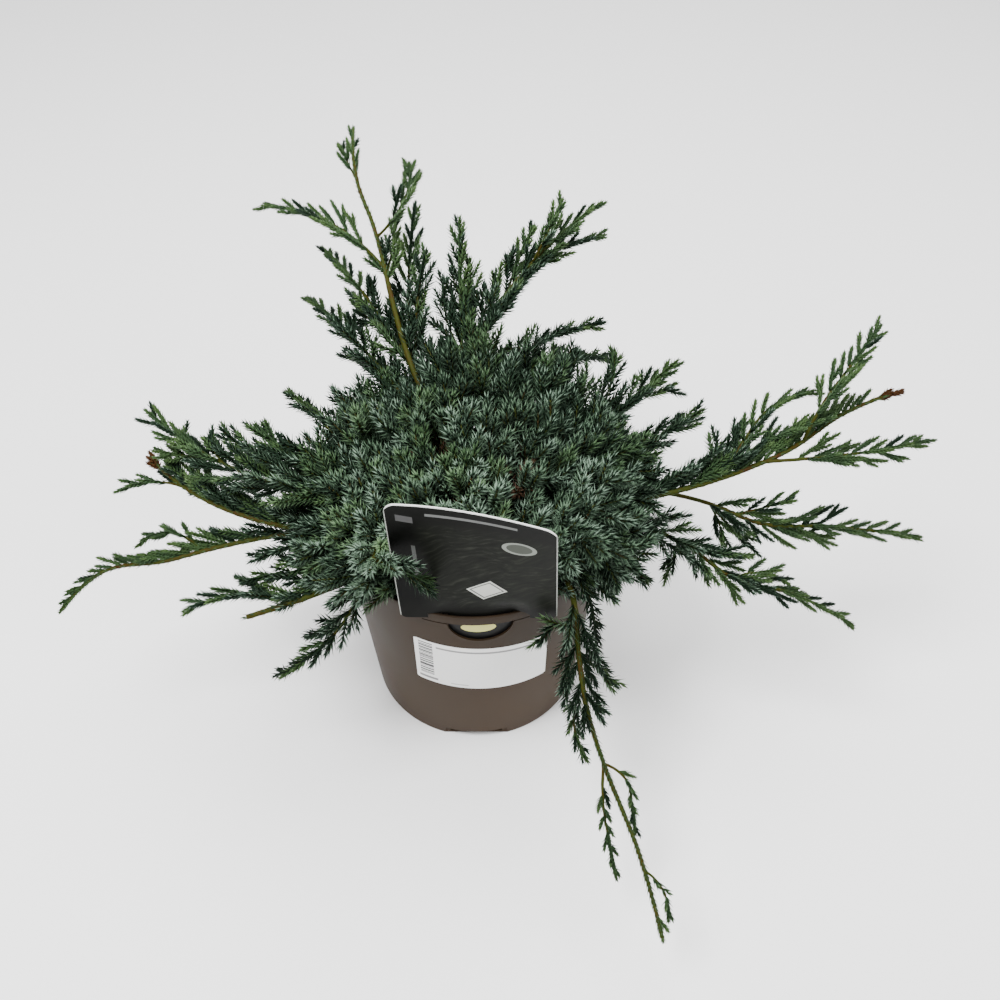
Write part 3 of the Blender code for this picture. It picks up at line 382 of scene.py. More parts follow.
def card_top(across):
    """Height of the card's arched top edge, rounded at its corners."""
    half = CARD_WIDTH / 2
    top = CARD_HEIGHT + CARD_ARCH * (1 - (across / half) ** 2)
    into_corner = abs(across) - (half - CARD_CORNER)
    if into_corner > 0:
        top -= CARD_CORNER - math.sqrt(max(0, CARD_CORNER ** 2 - into_corner ** 2))
    return CARD_FOOT + across * math.sin(CARD_SWAY) + top * math.cos(CARD_SWAY)


def card_point(across, height):
    """A place of the card: its tongue follows the pot's wall and its body leans to the front."""
    up = (height - CARD_FOOT - across * math.sin(CARD_SWAY)) / math.cos(CARD_SWAY)
    aside = across * math.cos(CARD_SWAY) - up * math.sin(CARD_SWAY) + CARD_SHIFT
    lean = CARD_LEAN + CARD_TWIST * across / (CARD_WIDTH / 2)
    depth = CARD_SETBACK - (height - POT_HEIGHT) * math.tan(lean)
    body = Vector((aside * math.cos(CARD_TURN) + depth * math.sin(CARD_TURN),
                   aside * math.sin(CARD_TURN) - depth * math.cos(CARD_TURN), height))
    behind_wall = pot_radius(min(height, POT_HEIGHT)) - POT_WALL - 0.5 * MM
    curved = math.sqrt(max(0, behind_wall ** 2 - across ** 2))
    tongue = Vector((across * math.cos(SLOT_TURN) + curved * math.sin(SLOT_TURN),
                     across * math.sin(SLOT_TURN) - curved * math.cos(SLOT_TURN), height))
    near_tongue = min(1, max(0, (SHOULDER_START - abs(across)) / (SHOULDER_START - TONGUE_HALF_WIDTH)))
    near_rim = min(1, max(0, 1 - (height - CARD_FOOT) / CARD_BLEND))
    return body.lerp(tongue, near_tongue * near_rim)


def thin_sheet(name, columns, heights_at, point_at, thickness):
    """A thin printed sheet: a grid bent to its place, with a UV map in its flat size."""
    row_count = len(heights_at(columns[0]))
    bpy.ops.object.select_all(action="DESELECT")
    bpy.ops.mesh.primitive_grid_add(x_subdivisions=len(columns) - 1, y_subdivisions=row_count - 1, size=2)
    sheet = bpy.context.object
    sheet.name = name
    flat_place = {}
    for point in sheet.data.vertices:
        column = columns[round((point.co.x + 1) / 2 * (len(columns) - 1))]
        height = heights_at(column)[round((point.co.y + 1) / 2 * (row_count - 1))]
        flat_place[point.index] = (column, height)
        point.co = point_at(column, height)
    for loop, uv in zip(sheet.data.loops, sheet.data.uv_layers[0].data):
        uv.uv = flat_place[loop.vertex_index]
    wall = sheet.modifiers.new("thickness", "SOLIDIFY")
    wall.thickness = thickness
    wall.offset = -1
    bpy.ops.object.modifier_apply(modifier="thickness")
    bpy.ops.object.shade_smooth_by_angle(angle=math.radians(30))
    return sheet


half_card = CARD_WIDTH / 2
columns = [half_card * math.sin(math.pi / 2 * step / 24) for step in range(-24, 25)]
seat = CARD_FOOT - 0.2 * MM


def shoulder_foot(across):
    into_corner = max(0, abs(across) - (half_card - 4 * MM)) / (4 * MM)
    return SHOULDER_FOOT + 3 * MM * into_corner ** 2


card = thin_sheet(
    "plant_card_body", columns,
    lambda across: [seat + (card_top(across) - seat) * row / 24 for row in range(25)],
    card_point, 0.6 * MM)
tongue = thin_sheet(
    "plant_card_tongue", [TONGUE_HALF_WIDTH * step / 10 for step in range(-10, 11)],
    lambda across: [TONGUE_FOOT + (seat + 0.4 * MM - TONGUE_FOOT) * row / 12 for row in range(13)],
    card_point, 0.6 * MM)
shoulders = []
for side_name, side in (("left", -1), ("right", 1)):
    reaches = [SHOULDER_START + (half_card - SHOULDER_START) * step / 12 for step in range(13)]
    shoulders.append(thin_sheet(
        f"plant_card_shoulder_{side_name}", [side * reach for reach in reaches][::side],
        lambda across: [shoulder_foot(across) + (seat + 0.4 * MM - shoulder_foot(across)) * row / 3
                        for row in range(4)],
        card_point, 0.6 * MM))
print_run = Finish("printed_card")
flat = print_run.add("ShaderNodeUVMap", {"uv_map": "UVMap"})
across = print_run.axis(flat, 0)
up = print_run.axis(flat, 1)
into_corner = abs(across) - (CARD_WIDTH / 2 - CARD_CORNER)
into_corner = (into_corner + abs(into_corner)) * 0.5
top_edge = 0.2588 + across * 0.040 - across * across * 2.08 - into_corner * into_corner * 84.0
swept = print_run.clouds(print_run.stretched(flat, (26.0, 26.0, 1.0)), 1.0, 2.0, 0.5)
tilted = print_run.add("ShaderNodeCombineXYZ", None, {0: across * 60.0 + up * 25.0 + swept * 4.0,
                                                      1: up * 300.0 - across * 150.0 + swept * 9.0})
strokes = print_run.clouds(tilted, 1.2, 4.0, 0.6)
needle_print = print_run.ramped(strokes, ((0.32, (0.0022, 0.0025, 0.0018)), (0.54, (0.0058, 0.0068, 0.0047)),
                                          (0.76, (0.0200, 0.0225, 0.0160))))
from_left = print_run.ramped((across + 0.036) * 70.0, ((0.0, (0, 0, 0)), (1.0, (1, 1, 1))))
ground = print_run.mixed(from_left, (0.0010, 0.0012, 0.0009, 1), needle_print)
below_title = print_run.ramped((top_edge - 0.0125 - up) * 120.0, ((0.0, (0, 0, 0)), (1.0, (1, 1, 1))))
above_foot = print_run.ramped((up - 0.158) * 90.0, ((0.0, (0, 0, 0)), (1.0, (1, 1, 1))))
ground = print_run.mixed(below_title * above_foot, (0.0028, 0.0030, 0.0024, 1), ground)
title_bar = (abs(top_edge - 0.0075 - up) < 0.0011) * (abs(across - 0.001) < 0.026)
strip_bar = (abs(across + 0.0345) < 0.0012) * (abs(up - 0.203) < 0.017)
badge = (abs(across + 0.0375) < 0.0050) * (abs(up - 0.2425) < 0.0026)
ground = print_run.mixed(title_bar * 0.6, ground, (0.20, 0.205, 0.20, 1))
ground = print_run.mixed(strip_bar * 0.6, ground, (0.11, 0.115, 0.11, 1))
ground = print_run.mixed(badge * 0.6, ground, (0.10, 0.10, 0.10, 1))
from_roundel_x = (across - 0.0275) / 0.0100
from_roundel_y = (up - 0.2310) / 0.0062
roundel = from_roundel_x * from_roundel_x + from_roundel_y * from_roundel_y
ground = print_run.mixed(roundel < 1, ground, (0.20, 0.215, 0.19, 1))
ground = print_run.mixed(roundel < 0.55, ground, (0.060, 0.066, 0.055, 1))
diamond = abs(across - 0.0065 - (up - 0.182) * 0.25) / 0.0125 + abs(up - 0.182) / 0.0105
ground = print_run.mixed(diamond < 1, ground, (0.46, 0.47, 0.43, 1))
ground = print_run.mixed((diamond < 0.86) * (diamond > 0.74), ground, (0.10, 0.105, 0.095, 1))
# The card's cut edges painted on its face as thin pale lines, a painted highlight that is lightest along the top edge,
# where the light falls.
ground = print_run.mixed(abs(across) > half_card - 0.0006, ground, (0.30, 0.31, 0.29, 1))
ground = print_run.mixed(up > top_edge - 0.0009, ground, (0.72, 0.72, 0.70, 1))
card_material = print_run.surface(Base_Color=ground, Roughness=0.38, Specular_IOR_Level=0.035)
black_print = Finish("black_card_with_yellow_oval")
flat = black_print.add("ShaderNodeUVMap", {"uv_map": "UVMap"})
from_oval_x = (black_print.axis(flat, 0) + 0.0014) / 0.0112
from_oval_y = (black_print.axis(flat, 1) - 0.1395) / 0.0050
oval = from_oval_x * from_oval_x + from_oval_y * from_oval_y
tongue_material = black_print.surface(
    Base_Color=black_print.mixed(oval < 1, (0.004, 0.004, 0.004, 1), (0.52, 0.50, 0.17, 1)),
    Roughness=0.45,
    Specular_IOR_Level=0.1,
)
for piece in (card, tongue, *shoulders):
    piece.data.materials.append(tongue_material if piece is tongue else card_material)
    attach(piece, "root")
    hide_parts("plant_card")


# Price label. A white self-adhesive paper label stuck round the pot's front, with its corners
# slightly rounded and a plain block of bars printed at its left end.
LABEL_LEFT = -40.8 * MM
LABEL_RIGHT = 52.0 * MM
LABEL_LOW = 68 * MM
LABEL_HIGH = 117.5 * MM
LABEL_TILT = -0.055
LABEL_CORNER = 1 * MM
label_columns = [LABEL_LEFT + (LABEL_RIGHT - LABEL_LEFT) * step / 40 for step in range(41)]


def label_heights(across):
    """Heights of the label's rows at a place along it, rounded at its corners."""
    from_end = min(across - LABEL_LEFT, LABEL_RIGHT - across)
    rounding = max(0, LABEL_CORNER - from_end)
    inset = LABEL_CORNER - math.sqrt(max(0, LABEL_CORNER ** 2 - rounding ** 2))
    low = LABEL_LOW + inset
    high = LABEL_HIGH - inset
    return [low + (high - low) * row / 8 for row in range(9)]


def label_point(across, height):
    tilted = height + LABEL_TILT * (across - (LABEL_LEFT + LABEL_RIGHT) / 2)
    radius = pot_radius(tilted) + 0.3 * MM
    angle = math.radians(-90) + across / radius
    return (radius * math.cos(angle), radius * math.sin(angle), tilted)


label = thin_sheet("price_label_paper", label_columns, label_heights, label_point, 0.25 * MM)
paper = Finish("printed_paper_label")
flat = paper.add("ShaderNodeUVMap", {"uv_map": "UVMap"})
across = paper.axis(flat, 0)
up = paper.axis(flat, 1)
fibre = paper.clouds(paper.place(), 600.0, 3.0)
bars = paper.clouds(paper.stretched(flat, (0.0, 1.0, 1.0)), 760.0, 0.0) > 0.48
in_block = (across > -0.0375) * (across < -0.0275) * (up > 0.077) * (up < 0.1155)
title_bar = (across > -0.025) * (across < 0.050) * (abs(up - 0.1125) < 0.0010)
price_bar = (across > -0.0385) * (across < -0.025) * (abs(up - 0.0725) < 0.0013)
foot_bars = (abs(across + 0.010) < 0.006) * (abs(up - 0.0715) < 0.0006)
marks = bars * in_block + title_bar * 0.75 + price_bar * 0.8 + foot_bars * 0.5
white = paper.mixed(fibre, (0.66, 0.66, 0.645, 1), (0.72, 0.72, 0.705, 1))
label_material = paper.surface(
    Base_Color=paper.mixed(marks, white, (0.012, 0.012, 0.012, 1)),
    Roughness=0.5,
    Normal=paper.bumped(fibre, 0.1, 0.0001),
)
label.data.materials.append(label_material)
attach(label, "root")
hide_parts("price_label")


# Trunk and boughs. The juniper forks just above the compost into long low limbs. Their young bark
# is olive on the tips and turns orange-brown and flaky towards the trunk.
LEADERS = {
    "back_tall": (184.5, ((119.1, 100, 232), (115.8, 136, 249), (113.4, 183, 276), (113.5, 215, 297), (111.1, 249, 318)), 2.6, 0.56),
    "back_second": (158, ((109.2, 149, 235), (106, 175, 253), (102.7, 206, 275)), 1.7, 0.42),
    "back_left_upper": (168, ((119.7, 118, 230), (119.9, 152, 237), (120.6, 231, 240)), 1.9, 0.40),
    "back_left_lower": (176, ((128.2, 125, 218), (127, 212, 215)), 1.7, 0.34),
    "left_back": (164, ((153, 115, 194), (147.8, 158, 192)), 1.6, 0.36),
    "back_centre": (173, ((95, 123, 240), (93.8, 169, 280)), 1.7, 0.36),
    "back_right_tall": (179, ((92.4, 83, 221), (75.7, 158, 254), (64.2, 205, 285)), 2.2, 0.36),
    "back_right_upper": (170, ((74, 106, 208), (56.8, 169, 212)), 1.8, 0.36),
    "back_right_lower": (164, ((57, 124, 208), (53.1, 161, 188)), 1.7, 0.36),
    "right_back": (170, ((33, 118, 192), (35.6, 176, 205)), 1.7, 0.36),
    "right_upper": (176, ((14, 113, 190), (17.6, 162, 204)), 1.6, 0.36),
    "right_long": (164, ((-2.1, 173, 200), (1.6, 206, 208), (7.2, 246, 217), (9.1, 284, 224)), 2.6, 0.36),
    "right_lower": (152, ((-2.2, 161, 169), (-5.8, 187, 166), (-3.7, 239, 158), (-1.8, 304, 142)), 2.0, 0.50),
    "right_drooping": (146, ((-13.2, 146, 157), (-17.5, 175, 150), (-15.1, 217, 137), (-14.3, 259, 115)), 1.9, 0.40),
    "front_hanging": (158, ((-53.5, 106, 165), (-58.5, 126, 142), (-62, 150, 121), (-62, 176, 88), (-63.2, 223, 68), (-65.6, 272, 52)), 2.5, 0.34),
    "left_upper": (176, ((-176, 150, 204), (172.7, 216, 222)), 1.8, 0.40),
    "left_cut": (162, ((-166.7, 136, 178), (-174, 175, 186), (177.5, 213, 196)), 2.3, 0.40),
    "left_long": (146, ((-167.8, 163, 161), (-168.8, 207, 151), (-171.2, 253, 137), (-168.5, 281, 120)), 2.4, 0.40),
    "left_low_cut": (158, ((-138.5, 105, 165), (-146.8, 167, 156)), 3.0, 0.52),
    "front_left_hanging": (149, ((-133.5, 90, 157.5), (-133, 104, 157), (-131.5, 123, 149), (-139, 164, 118)), 1.8, 0.38),
    "left_inner": (170, ((176, 136, 190), (169.5, 172, 203)), 1.6, 0.36),
    "left_inner_upper": (182, ((178.9, 110, 199), (165.5, 152, 200)), 1.5, 0.36),
    "front_right_tuft": (170, ((-42, 96, 172), (-41, 118, 158)), 1.5, 0.36),
    "front_right_low": (163, ((-49, 106, 172), (-50, 122, 134)), 1.5, 0.36),
    "front_left_tuft": (176, ((-128.4, 92, 198), (-121.9, 106, 207), (-114.4, 108.7, 213), (-103.6, 101, 190)), 1.5, 0.36),
    "left_low_small": (170, ((-156, 108, 178), (-157, 150, 172)), 1.5, 0.40),
    "right_small": (176, ((-32, 100, 180), (-31, 128, 160)), 1.5, 0.36),
    "back_low_left": (152, ((135, 100, 172), (132, 146, 165)), 1.6, 0.40),
    "back_low_centre": (152, ((98, 100, 176), (98, 140, 172)), 1.6, 0.40),
    "back_low_right": (152, ((40, 100, 172), (42, 146, 165)), 1.6, 0.40),
}
SIDE_SHOOTS = {
    "back_tall_left": ("back_tall", 0.60, ((119.9, 191, 275), (128.8, 245, 280)), 1.4),
    "back_tall_right": ("back_tall", 0.69, ((108, 177, 288), (103, 215, 303)), 1.2),
    "back_tall_inner": ("back_tall", 0.58, ((110.6, 171, 262), (108.2, 184, 277)), 1.0),
    "back_tall_upper": ("back_tall", 0.85, ((113.6, 233, 302), (113.7, 247, 308)), 0.9),
    "back_third": ("back_second", 0.46, ((110.2, 121, 235), (102.9, 159, 262)), 1.3),
    "back_left_upper_low": ("back_left_upper", 0.58, ((120.5, 155, 222), (119.8, 181, 226)), 1.1),
    "back_left_lower_low": ("back_left_lower", 0.45, ((126, 127, 200), (128.3, 154, 200)), 1.1),
    "left_back_small": ("left_back", 0.40, ((131, 87, 192), (137, 116, 197)), 1.2),
    "back_centre_right": ("back_centre", 0.57, ((91.7, 136, 240), (91.5, 151, 258)), 1.0),
    "back_centre_left": ("back_centre", 0.52, ((100.1, 119, 236), (99.5, 135, 252)), 1.0),
    "back_right_top": ("back_right_tall", 0.74, ((72.3, 169, 276), (70.7, 185, 292)), 1.1),
    "back_right_outer": ("back_right_tall", 0.66, ((70, 178, 258), (62.8, 203, 262)), 1.2),
    "back_right_inner": ("back_right_tall", 0.62, ((79.3, 163, 252), (77.1, 185, 268)), 1.1),
    "back_right_low": ("back_right_tall", 0.44, ((84.5, 109, 238), (84.3, 119, 252)), 1.0),
    "right_back_up": ("right_back", 0.50, ((39.6, 123, 204), (45.8, 142, 214)), 1.1),
    "right_back_low": ("right_back", 0.75, ((33, 152, 194), (30.9, 166, 194)), 1.0),
    "right_long_first": ("right_long", 0.49, ((2.2, 157, 197), (7.7, 163, 206)), 1.1),
    "right_long_near": ("right_long", 0.53, ((3.2, 168, 203), (8, 178, 214)), 1.2),
    "right_long_inner": ("right_long", 0.55, ((2.5, 174, 208), (7.9, 193, 222), (9.7, 225, 231)), 1.4),
    "right_long_middle": ("right_long", 0.59, ((1.8, 182, 208), (3.9, 207, 217), (5, 232, 222)), 1.2),
    "right_long_rising": ("right_long", 0.75, ((5.7, 227, 232), (10.4, 249, 243), (16.4, 284, 252)), 1.4),
    "right_long_low": ("right_long", 0.65, ((0.5, 242, 207), (4.5, 303, 200)), 1.4),
    "right_lower_rising": ("right_lower", 0.57, ((-3.5, 192, 172), (-2.3, 210, 177)), 1.0),
    "right_lower_near": ("right_lower", 0.51, ((-3.5, 165, 157), (-6.5, 170, 146)), 1.0),
    "right_lower_under": ("right_lower", 0.51, ((-4.3, 173, 155), (-6.1, 188, 144)), 1.0),
    "right_lower_outer": ("right_lower", 0.61, ((-4.8, 212, 158), (-4.8, 240, 152)), 1.0),
    "right_drooping_upper": ("right_drooping", 0.57, ((-13.6, 167, 158), (-13.1, 185, 157)), 1.0),
    "right_drooping_outer": ("right_drooping", 0.67, ((-14.2, 195, 148), (-13.6, 212, 140)), 1.0),
    "right_drooping_low": ("right_drooping", 0.55, ((-14.6, 152, 148), (-15.4, 161, 138)), 1.0),
    "right_drooping_near": ("right_drooping", 0.51, ((-13.5, 137, 146), (-15.4, 134, 134)), 1.0),
    "front_hanging_left": ("front_hanging", 0.51, ((-65.1, 151, 106), (-64.6, 166, 88)), 1.1),
    "front_hanging_right": ("front_hanging", 0.45, ((-54.5, 131, 127), (-52.1, 146, 118)), 1.1),
    "front_hanging_tuft": ("front_hanging", 0.41, ((-59.5, 108, 151), (-66.6, 108, 142)), 1.1),
    "front_hanging_inner": ("front_hanging", 0.67, ((-64.7, 190, 76), (-65.9, 207, 60), (-66.8, 225, 47)), 1.2),
    "front_hanging_outer": ("front_hanging", 0.67, ((-59.5, 189, 84), (-60.6, 202, 74), (-61.6, 212, 64)), 1.1),
    "front_hanging_end": ("front_hanging", 0.88, ((-63, 250, 64), (-63.7, 264, 54)), 1.0),
    "left_upper_low": ("left_upper", 0.73, ((179.4, 187, 206), (178.3, 207, 206)), 1.1),
    "left_upper_rising": ("left_upper", 0.71, ((179.9, 167, 212), (177.3, 170, 218)), 1.0),
    "left_cut_side": ("left_cut", 0.86, ((-178.4, 207, 190), (-177.7, 228, 188)), 1.0),
    "left_cut_rising": ("left_cut", 0.73, ((-177.9, 176, 190), (178.5, 185, 200), (173.7, 192, 212)), 1.2),
    "left_cut_middle": ("left_cut", 0.79, ((-177.9, 187, 193), (-179.8, 200, 198)), 1.0),
    "left_long_upper": ("left_long", 0.62, ((-173.5, 206, 160), (-173.3, 221, 156)), 1.0),
    "left_low_side": ("left_low_cut", 0.67, ((-144.3, 133, 158), (-153.5, 161, 156), (-155.9, 198, 150)), 1.3),
    "left_low_upper": ("left_low_cut", 0.61, ((-150.9, 126, 163), (-155.8, 159, 158)), 1.1),
    "left_low_top": ("left_low_cut", 0.61, ((-147.9, 115, 168), (-154.4, 133, 170)), 1.0),
    "front_left_hanging_side": ("front_left_hanging", 0.64, ((-136.9, 124, 140), (-139.3, 134, 132)), 1.0),
}
TRUNK_RINGS = ((138.0, 0.0, 11.0), (140.0, 0.0, 9.6), (144.0, 0.0, 8.2), (150.0, 0.3, 7.4),
               (168.0, 1.2, 6.9), (180.0, 1.6, 6.2), (187.0, 1.8, 4.6), (190.0, 1.9, 1.8))
STEPS = 48
CUT_SHORT = ("left_cut", "left_low_cut")


def at(heading, reach, height):
    """A point from a compass heading in degrees, a reach from the trunk and a height, in mm."""
    angle = math.radians(heading)
    return np.array((reach * math.cos(angle), reach * math.sin(angle), height)) * MM


def lengths_along(line):
    steps = np.linalg.norm(np.diff(line, axis=0), axis=1)
    return np.concatenate(((0,), np.cumsum(steps)))


def flowing(points):
    """A limb's line: one smooth curve through its root, its way-points and its tip."""
    points = np.array(points)
    knots = lengths_along(points)
    slopes = np.gradient(points, knots, axis=0, edge_order=2)
    along = np.linspace(0, knots[-1], STEPS + 1)
    piece = np.clip(np.searchsorted(knots, along, side="right") - 1, 0, len(points) - 2)
    width = (knots[piece + 1] - knots[piece])[:, None]
    t = (along - knots[piece])[:, None] / width
    return (points[piece] * (1 + 2 * t) * (1 - t) ** 2 + slopes[piece] * width * t * (1 - t) ** 2
            + points[piece + 1] * t ** 2 * (3 - 2 * t) + slopes[piece + 1] * width * t ** 2 * (t - 1))


def points_on(line, shares):
    along = lengths_along(line)
    targets = np.atleast_1d(shares) * along[-1]
    return np.stack([np.interp(targets, along, line[:, axis]) for axis in range(3)], axis=1)


def headings_on(line, shares):
    ahead = points_on(line, np.minimum(1, np.atleast_1d(shares) + 0.03))
    behind = points_on(line, np.maximum(0, np.atleast_1d(shares) - 0.03))
    way = ahead - behind
    return way / np.linalg.norm(way, axis=1)[:, None]


def square_to(headings):
    side = np.cross((0, 0, 1), headings)
    side /= np.maximum(1e-9, np.linalg.norm(side, axis=1))[:, None]
    return side, np.cross(headings, side)


def bark_tube(line, radii, sides, relief):
    """Vertices and faces of a closed limb with ridged bark, capped flat at both ends."""
    shares = np.linspace(0, 1, len(radii))
    centres = points_on(line, shares)
    side, up = square_to(headings_on(line, shares))
    angles = np.arange(sides) * math.tau / sides
    rim = side[:, None] * np.cos(angles)[None, :, None] + up[:, None] * np.sin(angles)[None, :, None]
    rough = np.ones((len(radii), sides))
    if relief:
        for row in range(len(radii)):
            for column in range(sides):
                spot = centres[row] + rim[row, column] * radii[row]
                rough[row, column] += relief * noise.noise(Vector(spot) * 380)
                rough[row, column] += relief * 0.6 * noise.noise(Vector(spot) * 1100)
    ring_points = centres[:, None] + rim * (np.array(radii)[:, None] * rough)[..., None]
    points = np.concatenate((ring_points.reshape(-1, 3), centres[:1], centres[-1:]))
    faces = []
    for row in range(len(radii) - 1):
        for column in range(sides):
            beside = (column + 1) % sides
            low = row * sides
            faces.append((low + column, low + beside, low + sides + beside, low + sides + column))
    last = (len(radii) - 1) * sides
    root_end = len(points) - 2
    tip_end = len(points) - 1
    for column in range(sides):
        beside = (column + 1) % sides
        faces.append((beside, column, root_end))
        faces.append((last + column, last + beside, tip_end))
    return points, faces


def joined_mesh(name, solids):
    """One object from many closed shapes, each a pair of points and faces."""
    mesh = bpy.data.meshes.new(name)
    points = []
    faces = []
    for solid_points, solid_faces in solids:
        shift = len(points)
        points.extend(map(tuple, solid_points))
        faces.extend(tuple(corner + shift for corner in face) for face in solid_faces)
    mesh.from_pydata(points, [], faces)
    item = bpy.data.objects.new(name, mesh)
    bpy.context.scene.collection.objects.link(item)
    for face in mesh.polygons:
        face.use_smooth = True
    return item


lines = {}
girths = {}
for name, (height, way_points, girth, leafy_from) in LEADERS.items():
    outer_points = [at(*way_point) for way_point in way_points]
    away = outer_points[0] * (1, 1, 0)
    away /= np.linalg.norm(away)
    lines[name] = flowing([np.array((0, 0, height * MM)) + away * 3 * MM, *outer_points])
    girths[name] = girth * MM
for name, (bough, share, way_points, girth) in SIDE_SHOOTS.items():
    lines[name] = flowing([points_on(lines[bough], share)[0], *(at(*way_point) for way_point in way_points)])
    girths[name] = girth * MM

bark = Finish("juniper_bark")
spot = bark.place()
flakes = bark.clouds(bark.stretched(spot, (260, 260, 260)), 1.0, 5.0, 0.6)
ridges = bark.clouds(spot, 1500.0, 4.0, 0.7)
bark_material = bark.surface(
    Base_Color=bark.ramped(flakes * 0.6 + ridges * 0.4, (
        (0.30, (0.015, 0.008, 0.004)), (0.48, (0.045, 0.022, 0.008)),
        (0.58, (0.080, 0.042, 0.011)), (0.72, (0.11, 0.075, 0.024)))),
    Roughness=0.75,
    Normal=bark.bumped(ridges * 0.5 + flakes, 0.8, 0.0006),
)
green_bark = Finish("young_olive_bark")
spot = green_bark.place()
mottle = green_bark.clouds(spot, 90.0, 4.0, 0.6)
fleck = green_bark.clouds(spot, 900.0, 3.0, 0.6)
green_bark_material = green_bark.surface(
    Base_Color=green_bark.ramped(mottle * 0.75 + fleck * 0.25, (
        (0.36, (0.034, 0.0125, 0.0022)), (0.43, (0.032, 0.0235, 0.0022)),
        (0.52, (0.027, 0.0320, 0.0026)), (0.70, (0.021, 0.0330, 0.0034)))),
    Roughness=0.6,
    Specular_IOR_Level=0.08,
    Normal=green_bark.bumped(green_bark.clouds(spot, 1200.0, 4.0), 0.5, 0.0004),
)

trunk_line = np.array([(0, lean * MM, height * MM) for height, lean, _ in TRUNK_RINGS])
trunk_radii = np.interp(np.linspace(0, 1, 40), lengths_along(trunk_line) / lengths_along(trunk_line)[-1],
                        [radius * MM for _, _, radius in TRUNK_RINGS])
limbs = []
for name, line in lines.items():
    length = lengths_along(line)[-1]
    girth = girths[name]
    rows = max(12, round(length / (3 * MM)))
    radii = girth * (1.05 if name in CUT_SHORT else 0.90) * (1 - 0.48 * np.linspace(0, 1, rows))
    limbs.append(bark_tube(line, radii, 8, 0.16))
trunk_piece = joined_mesh("trunk_bark", [bark_tube(trunk_line, trunk_radii, 20, 0.10)])
trunk_piece.data.materials.append(bark_material)
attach(trunk_piece, "root")
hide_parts("trunk")
bough_piece = joined_mesh("boughs_and_leading_stems", limbs)
bough_piece.data.materials.append(green_bark_material)
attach(bough_piece, "root")
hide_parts(*(node for node in material_slots if node.startswith("bough_")))


# Twigs. Every shoot bears twigs left and right in turn, pressed forwards and shorter towards its
# tip, and the longer twigs bear twiglets by the same rule. Their thin bark is olive.
TWIG_PITCH = 6.2 * MM
TWIGLET_PITCH = 7.5 * MM
TWIG_ANGLES = (0, 28, 25)
FAR_SIDED = ("left_cut", "left_low_cut", "left_long", "right_long")
THORNY = {"right_long": 0, "front_hanging": 16, "back_tall": 22, "left_long": 40, "right_lower": 34,
          "right_drooping": 34}
THORN_PITCH = {"front_hanging": 1.7, "back_tall": 2.2}
DRIED_TIPS = ("right_long", "left_cut")
OVER_CARD = ("front_left_tuft", "front_hanging", "front_hanging_tuft", "front_hanging_left")
BARE_RUNS = {"right_long": (0.92, 1), "left_low_cut": (0.80, 1), "back_tall": (0.62, 0.90),
             "left_cut": (0.93, 1), "front_hanging": (0.54, 0.95)}
FULLNESS = {
    "back_tall": 0.78, "back_second": 0.85, "back_left_upper": 0.75, "back_left_lower": 0.8, "left_back": 0.8,
    "back_centre": 0.95, "back_right_upper": 0.9, "back_right_lower": 0.9, "right_upper": 1.2,
    "right_lower": 0.9, "right_drooping": 0.85, "front_hanging": 0.7, "left_upper": 1.25, "left_cut": 1.2,
    "left_long": 0.72, "front_left_hanging": 0.75, "left_inner": 1.25, "left_inner_upper": 1.2,
    "front_hanging_outer": 0.45, "front_hanging_inner": 0.5, "front_hanging_end": 0.4, "front_hanging_left": 0.6,
    "front_right_low": 0.6,
}
dice = random.Random(41)
twigs = []
bare_stems = []


def room_for(points, over_card=False):
    """Tells whether points are clear of the pot's wall, the compost and the plant card."""
    x, y, z = points.T
    reach = np.hypot(x, y)
    outside = (z > POT_HEIGHT + 2 * MM) | (reach > POT_TOP_RADIUS + 3 * MM)
    inside = (z > COMPOST_LEVEL + 3 * MM) & (reach < 80 * MM)
    lean = CARD_LEAN + CARD_TWIST * (x - CARD_SHIFT) / half_card
    before_card = -y - CARD_SETBACK + (z - POT_HEIGHT) * np.tan(lean)
    off_card = (abs(x - 2 * MM) > 54 * MM) | (z > 266 * MM) | (before_card < -7 * MM)
    if over_card:
        off_card |= before_card > 3 * MM
    return ((outside | inside) & off_card & (z > 8 * MM)).all()


def add_twig(line, share, hand, length, order, tone, rolls, over_card=False):
    """One twig from a place on a line, curved forwards, and its own twiglets."""
    point = points_on(line, share)
    heading = headings_on(line, share)
    side, up = square_to(heading)
    for trial in range(4):
        roll = math.radians(dice.uniform(*rolls))
        angle = math.radians(TWIG_ANGLES[order] + dice.uniform(-7, 7))
        outwards = hand * math.cos(roll) * side + math.sin(roll) * up
        direction = math.cos(angle) * heading + math.sin(angle) * outwards
        t = np.linspace(0, 1, 7)[:, None]
        lift = np.array((0, 0, 0.05)) * t ** 3
        twig = point + length * (direction * t + 0.22 * heading * t ** 2 + lift)
        if room_for(twig[1:], over_card):
            break
        length *= 0.8
        hand = -hand
    else:
        return
    twigs.append((twig, order, tone))
    if order < 2 and length > 16 * MM:
        count = max(1, int(length * 0.62 / TWIGLET_PITCH))
        hand = dice.choice((-1, 1))
        for index in range(count):
            hand = -hand
            place_on = 0.18 + 0.55 * (index + dice.uniform(0.1, 0.6)) / count
            twiglet = (0.28 * length * (1 - place_on) + 5.5 * MM) * dice.uniform(0.85, 1.15)
            add_twig(twig, place_on, hand, twiglet, order + 1, tone, (-60, 60), over_card)


def leaf_out(line, dense_length, tone, thorn_pitch=3.2 * MM):
    """A shoot's own needles: sparse along its stem and dense towards its tip."""
    dense_from = max(0.4, 1 - dense_length / lengths_along(line)[-1])
    bare_stems.append((points_on(line, np.linspace(0, dense_from, 16)), tone, thorn_pitch))
    if dense_length:
        twigs.append((points_on(line, np.linspace(dense_from, 1, 12)), 0, tone))


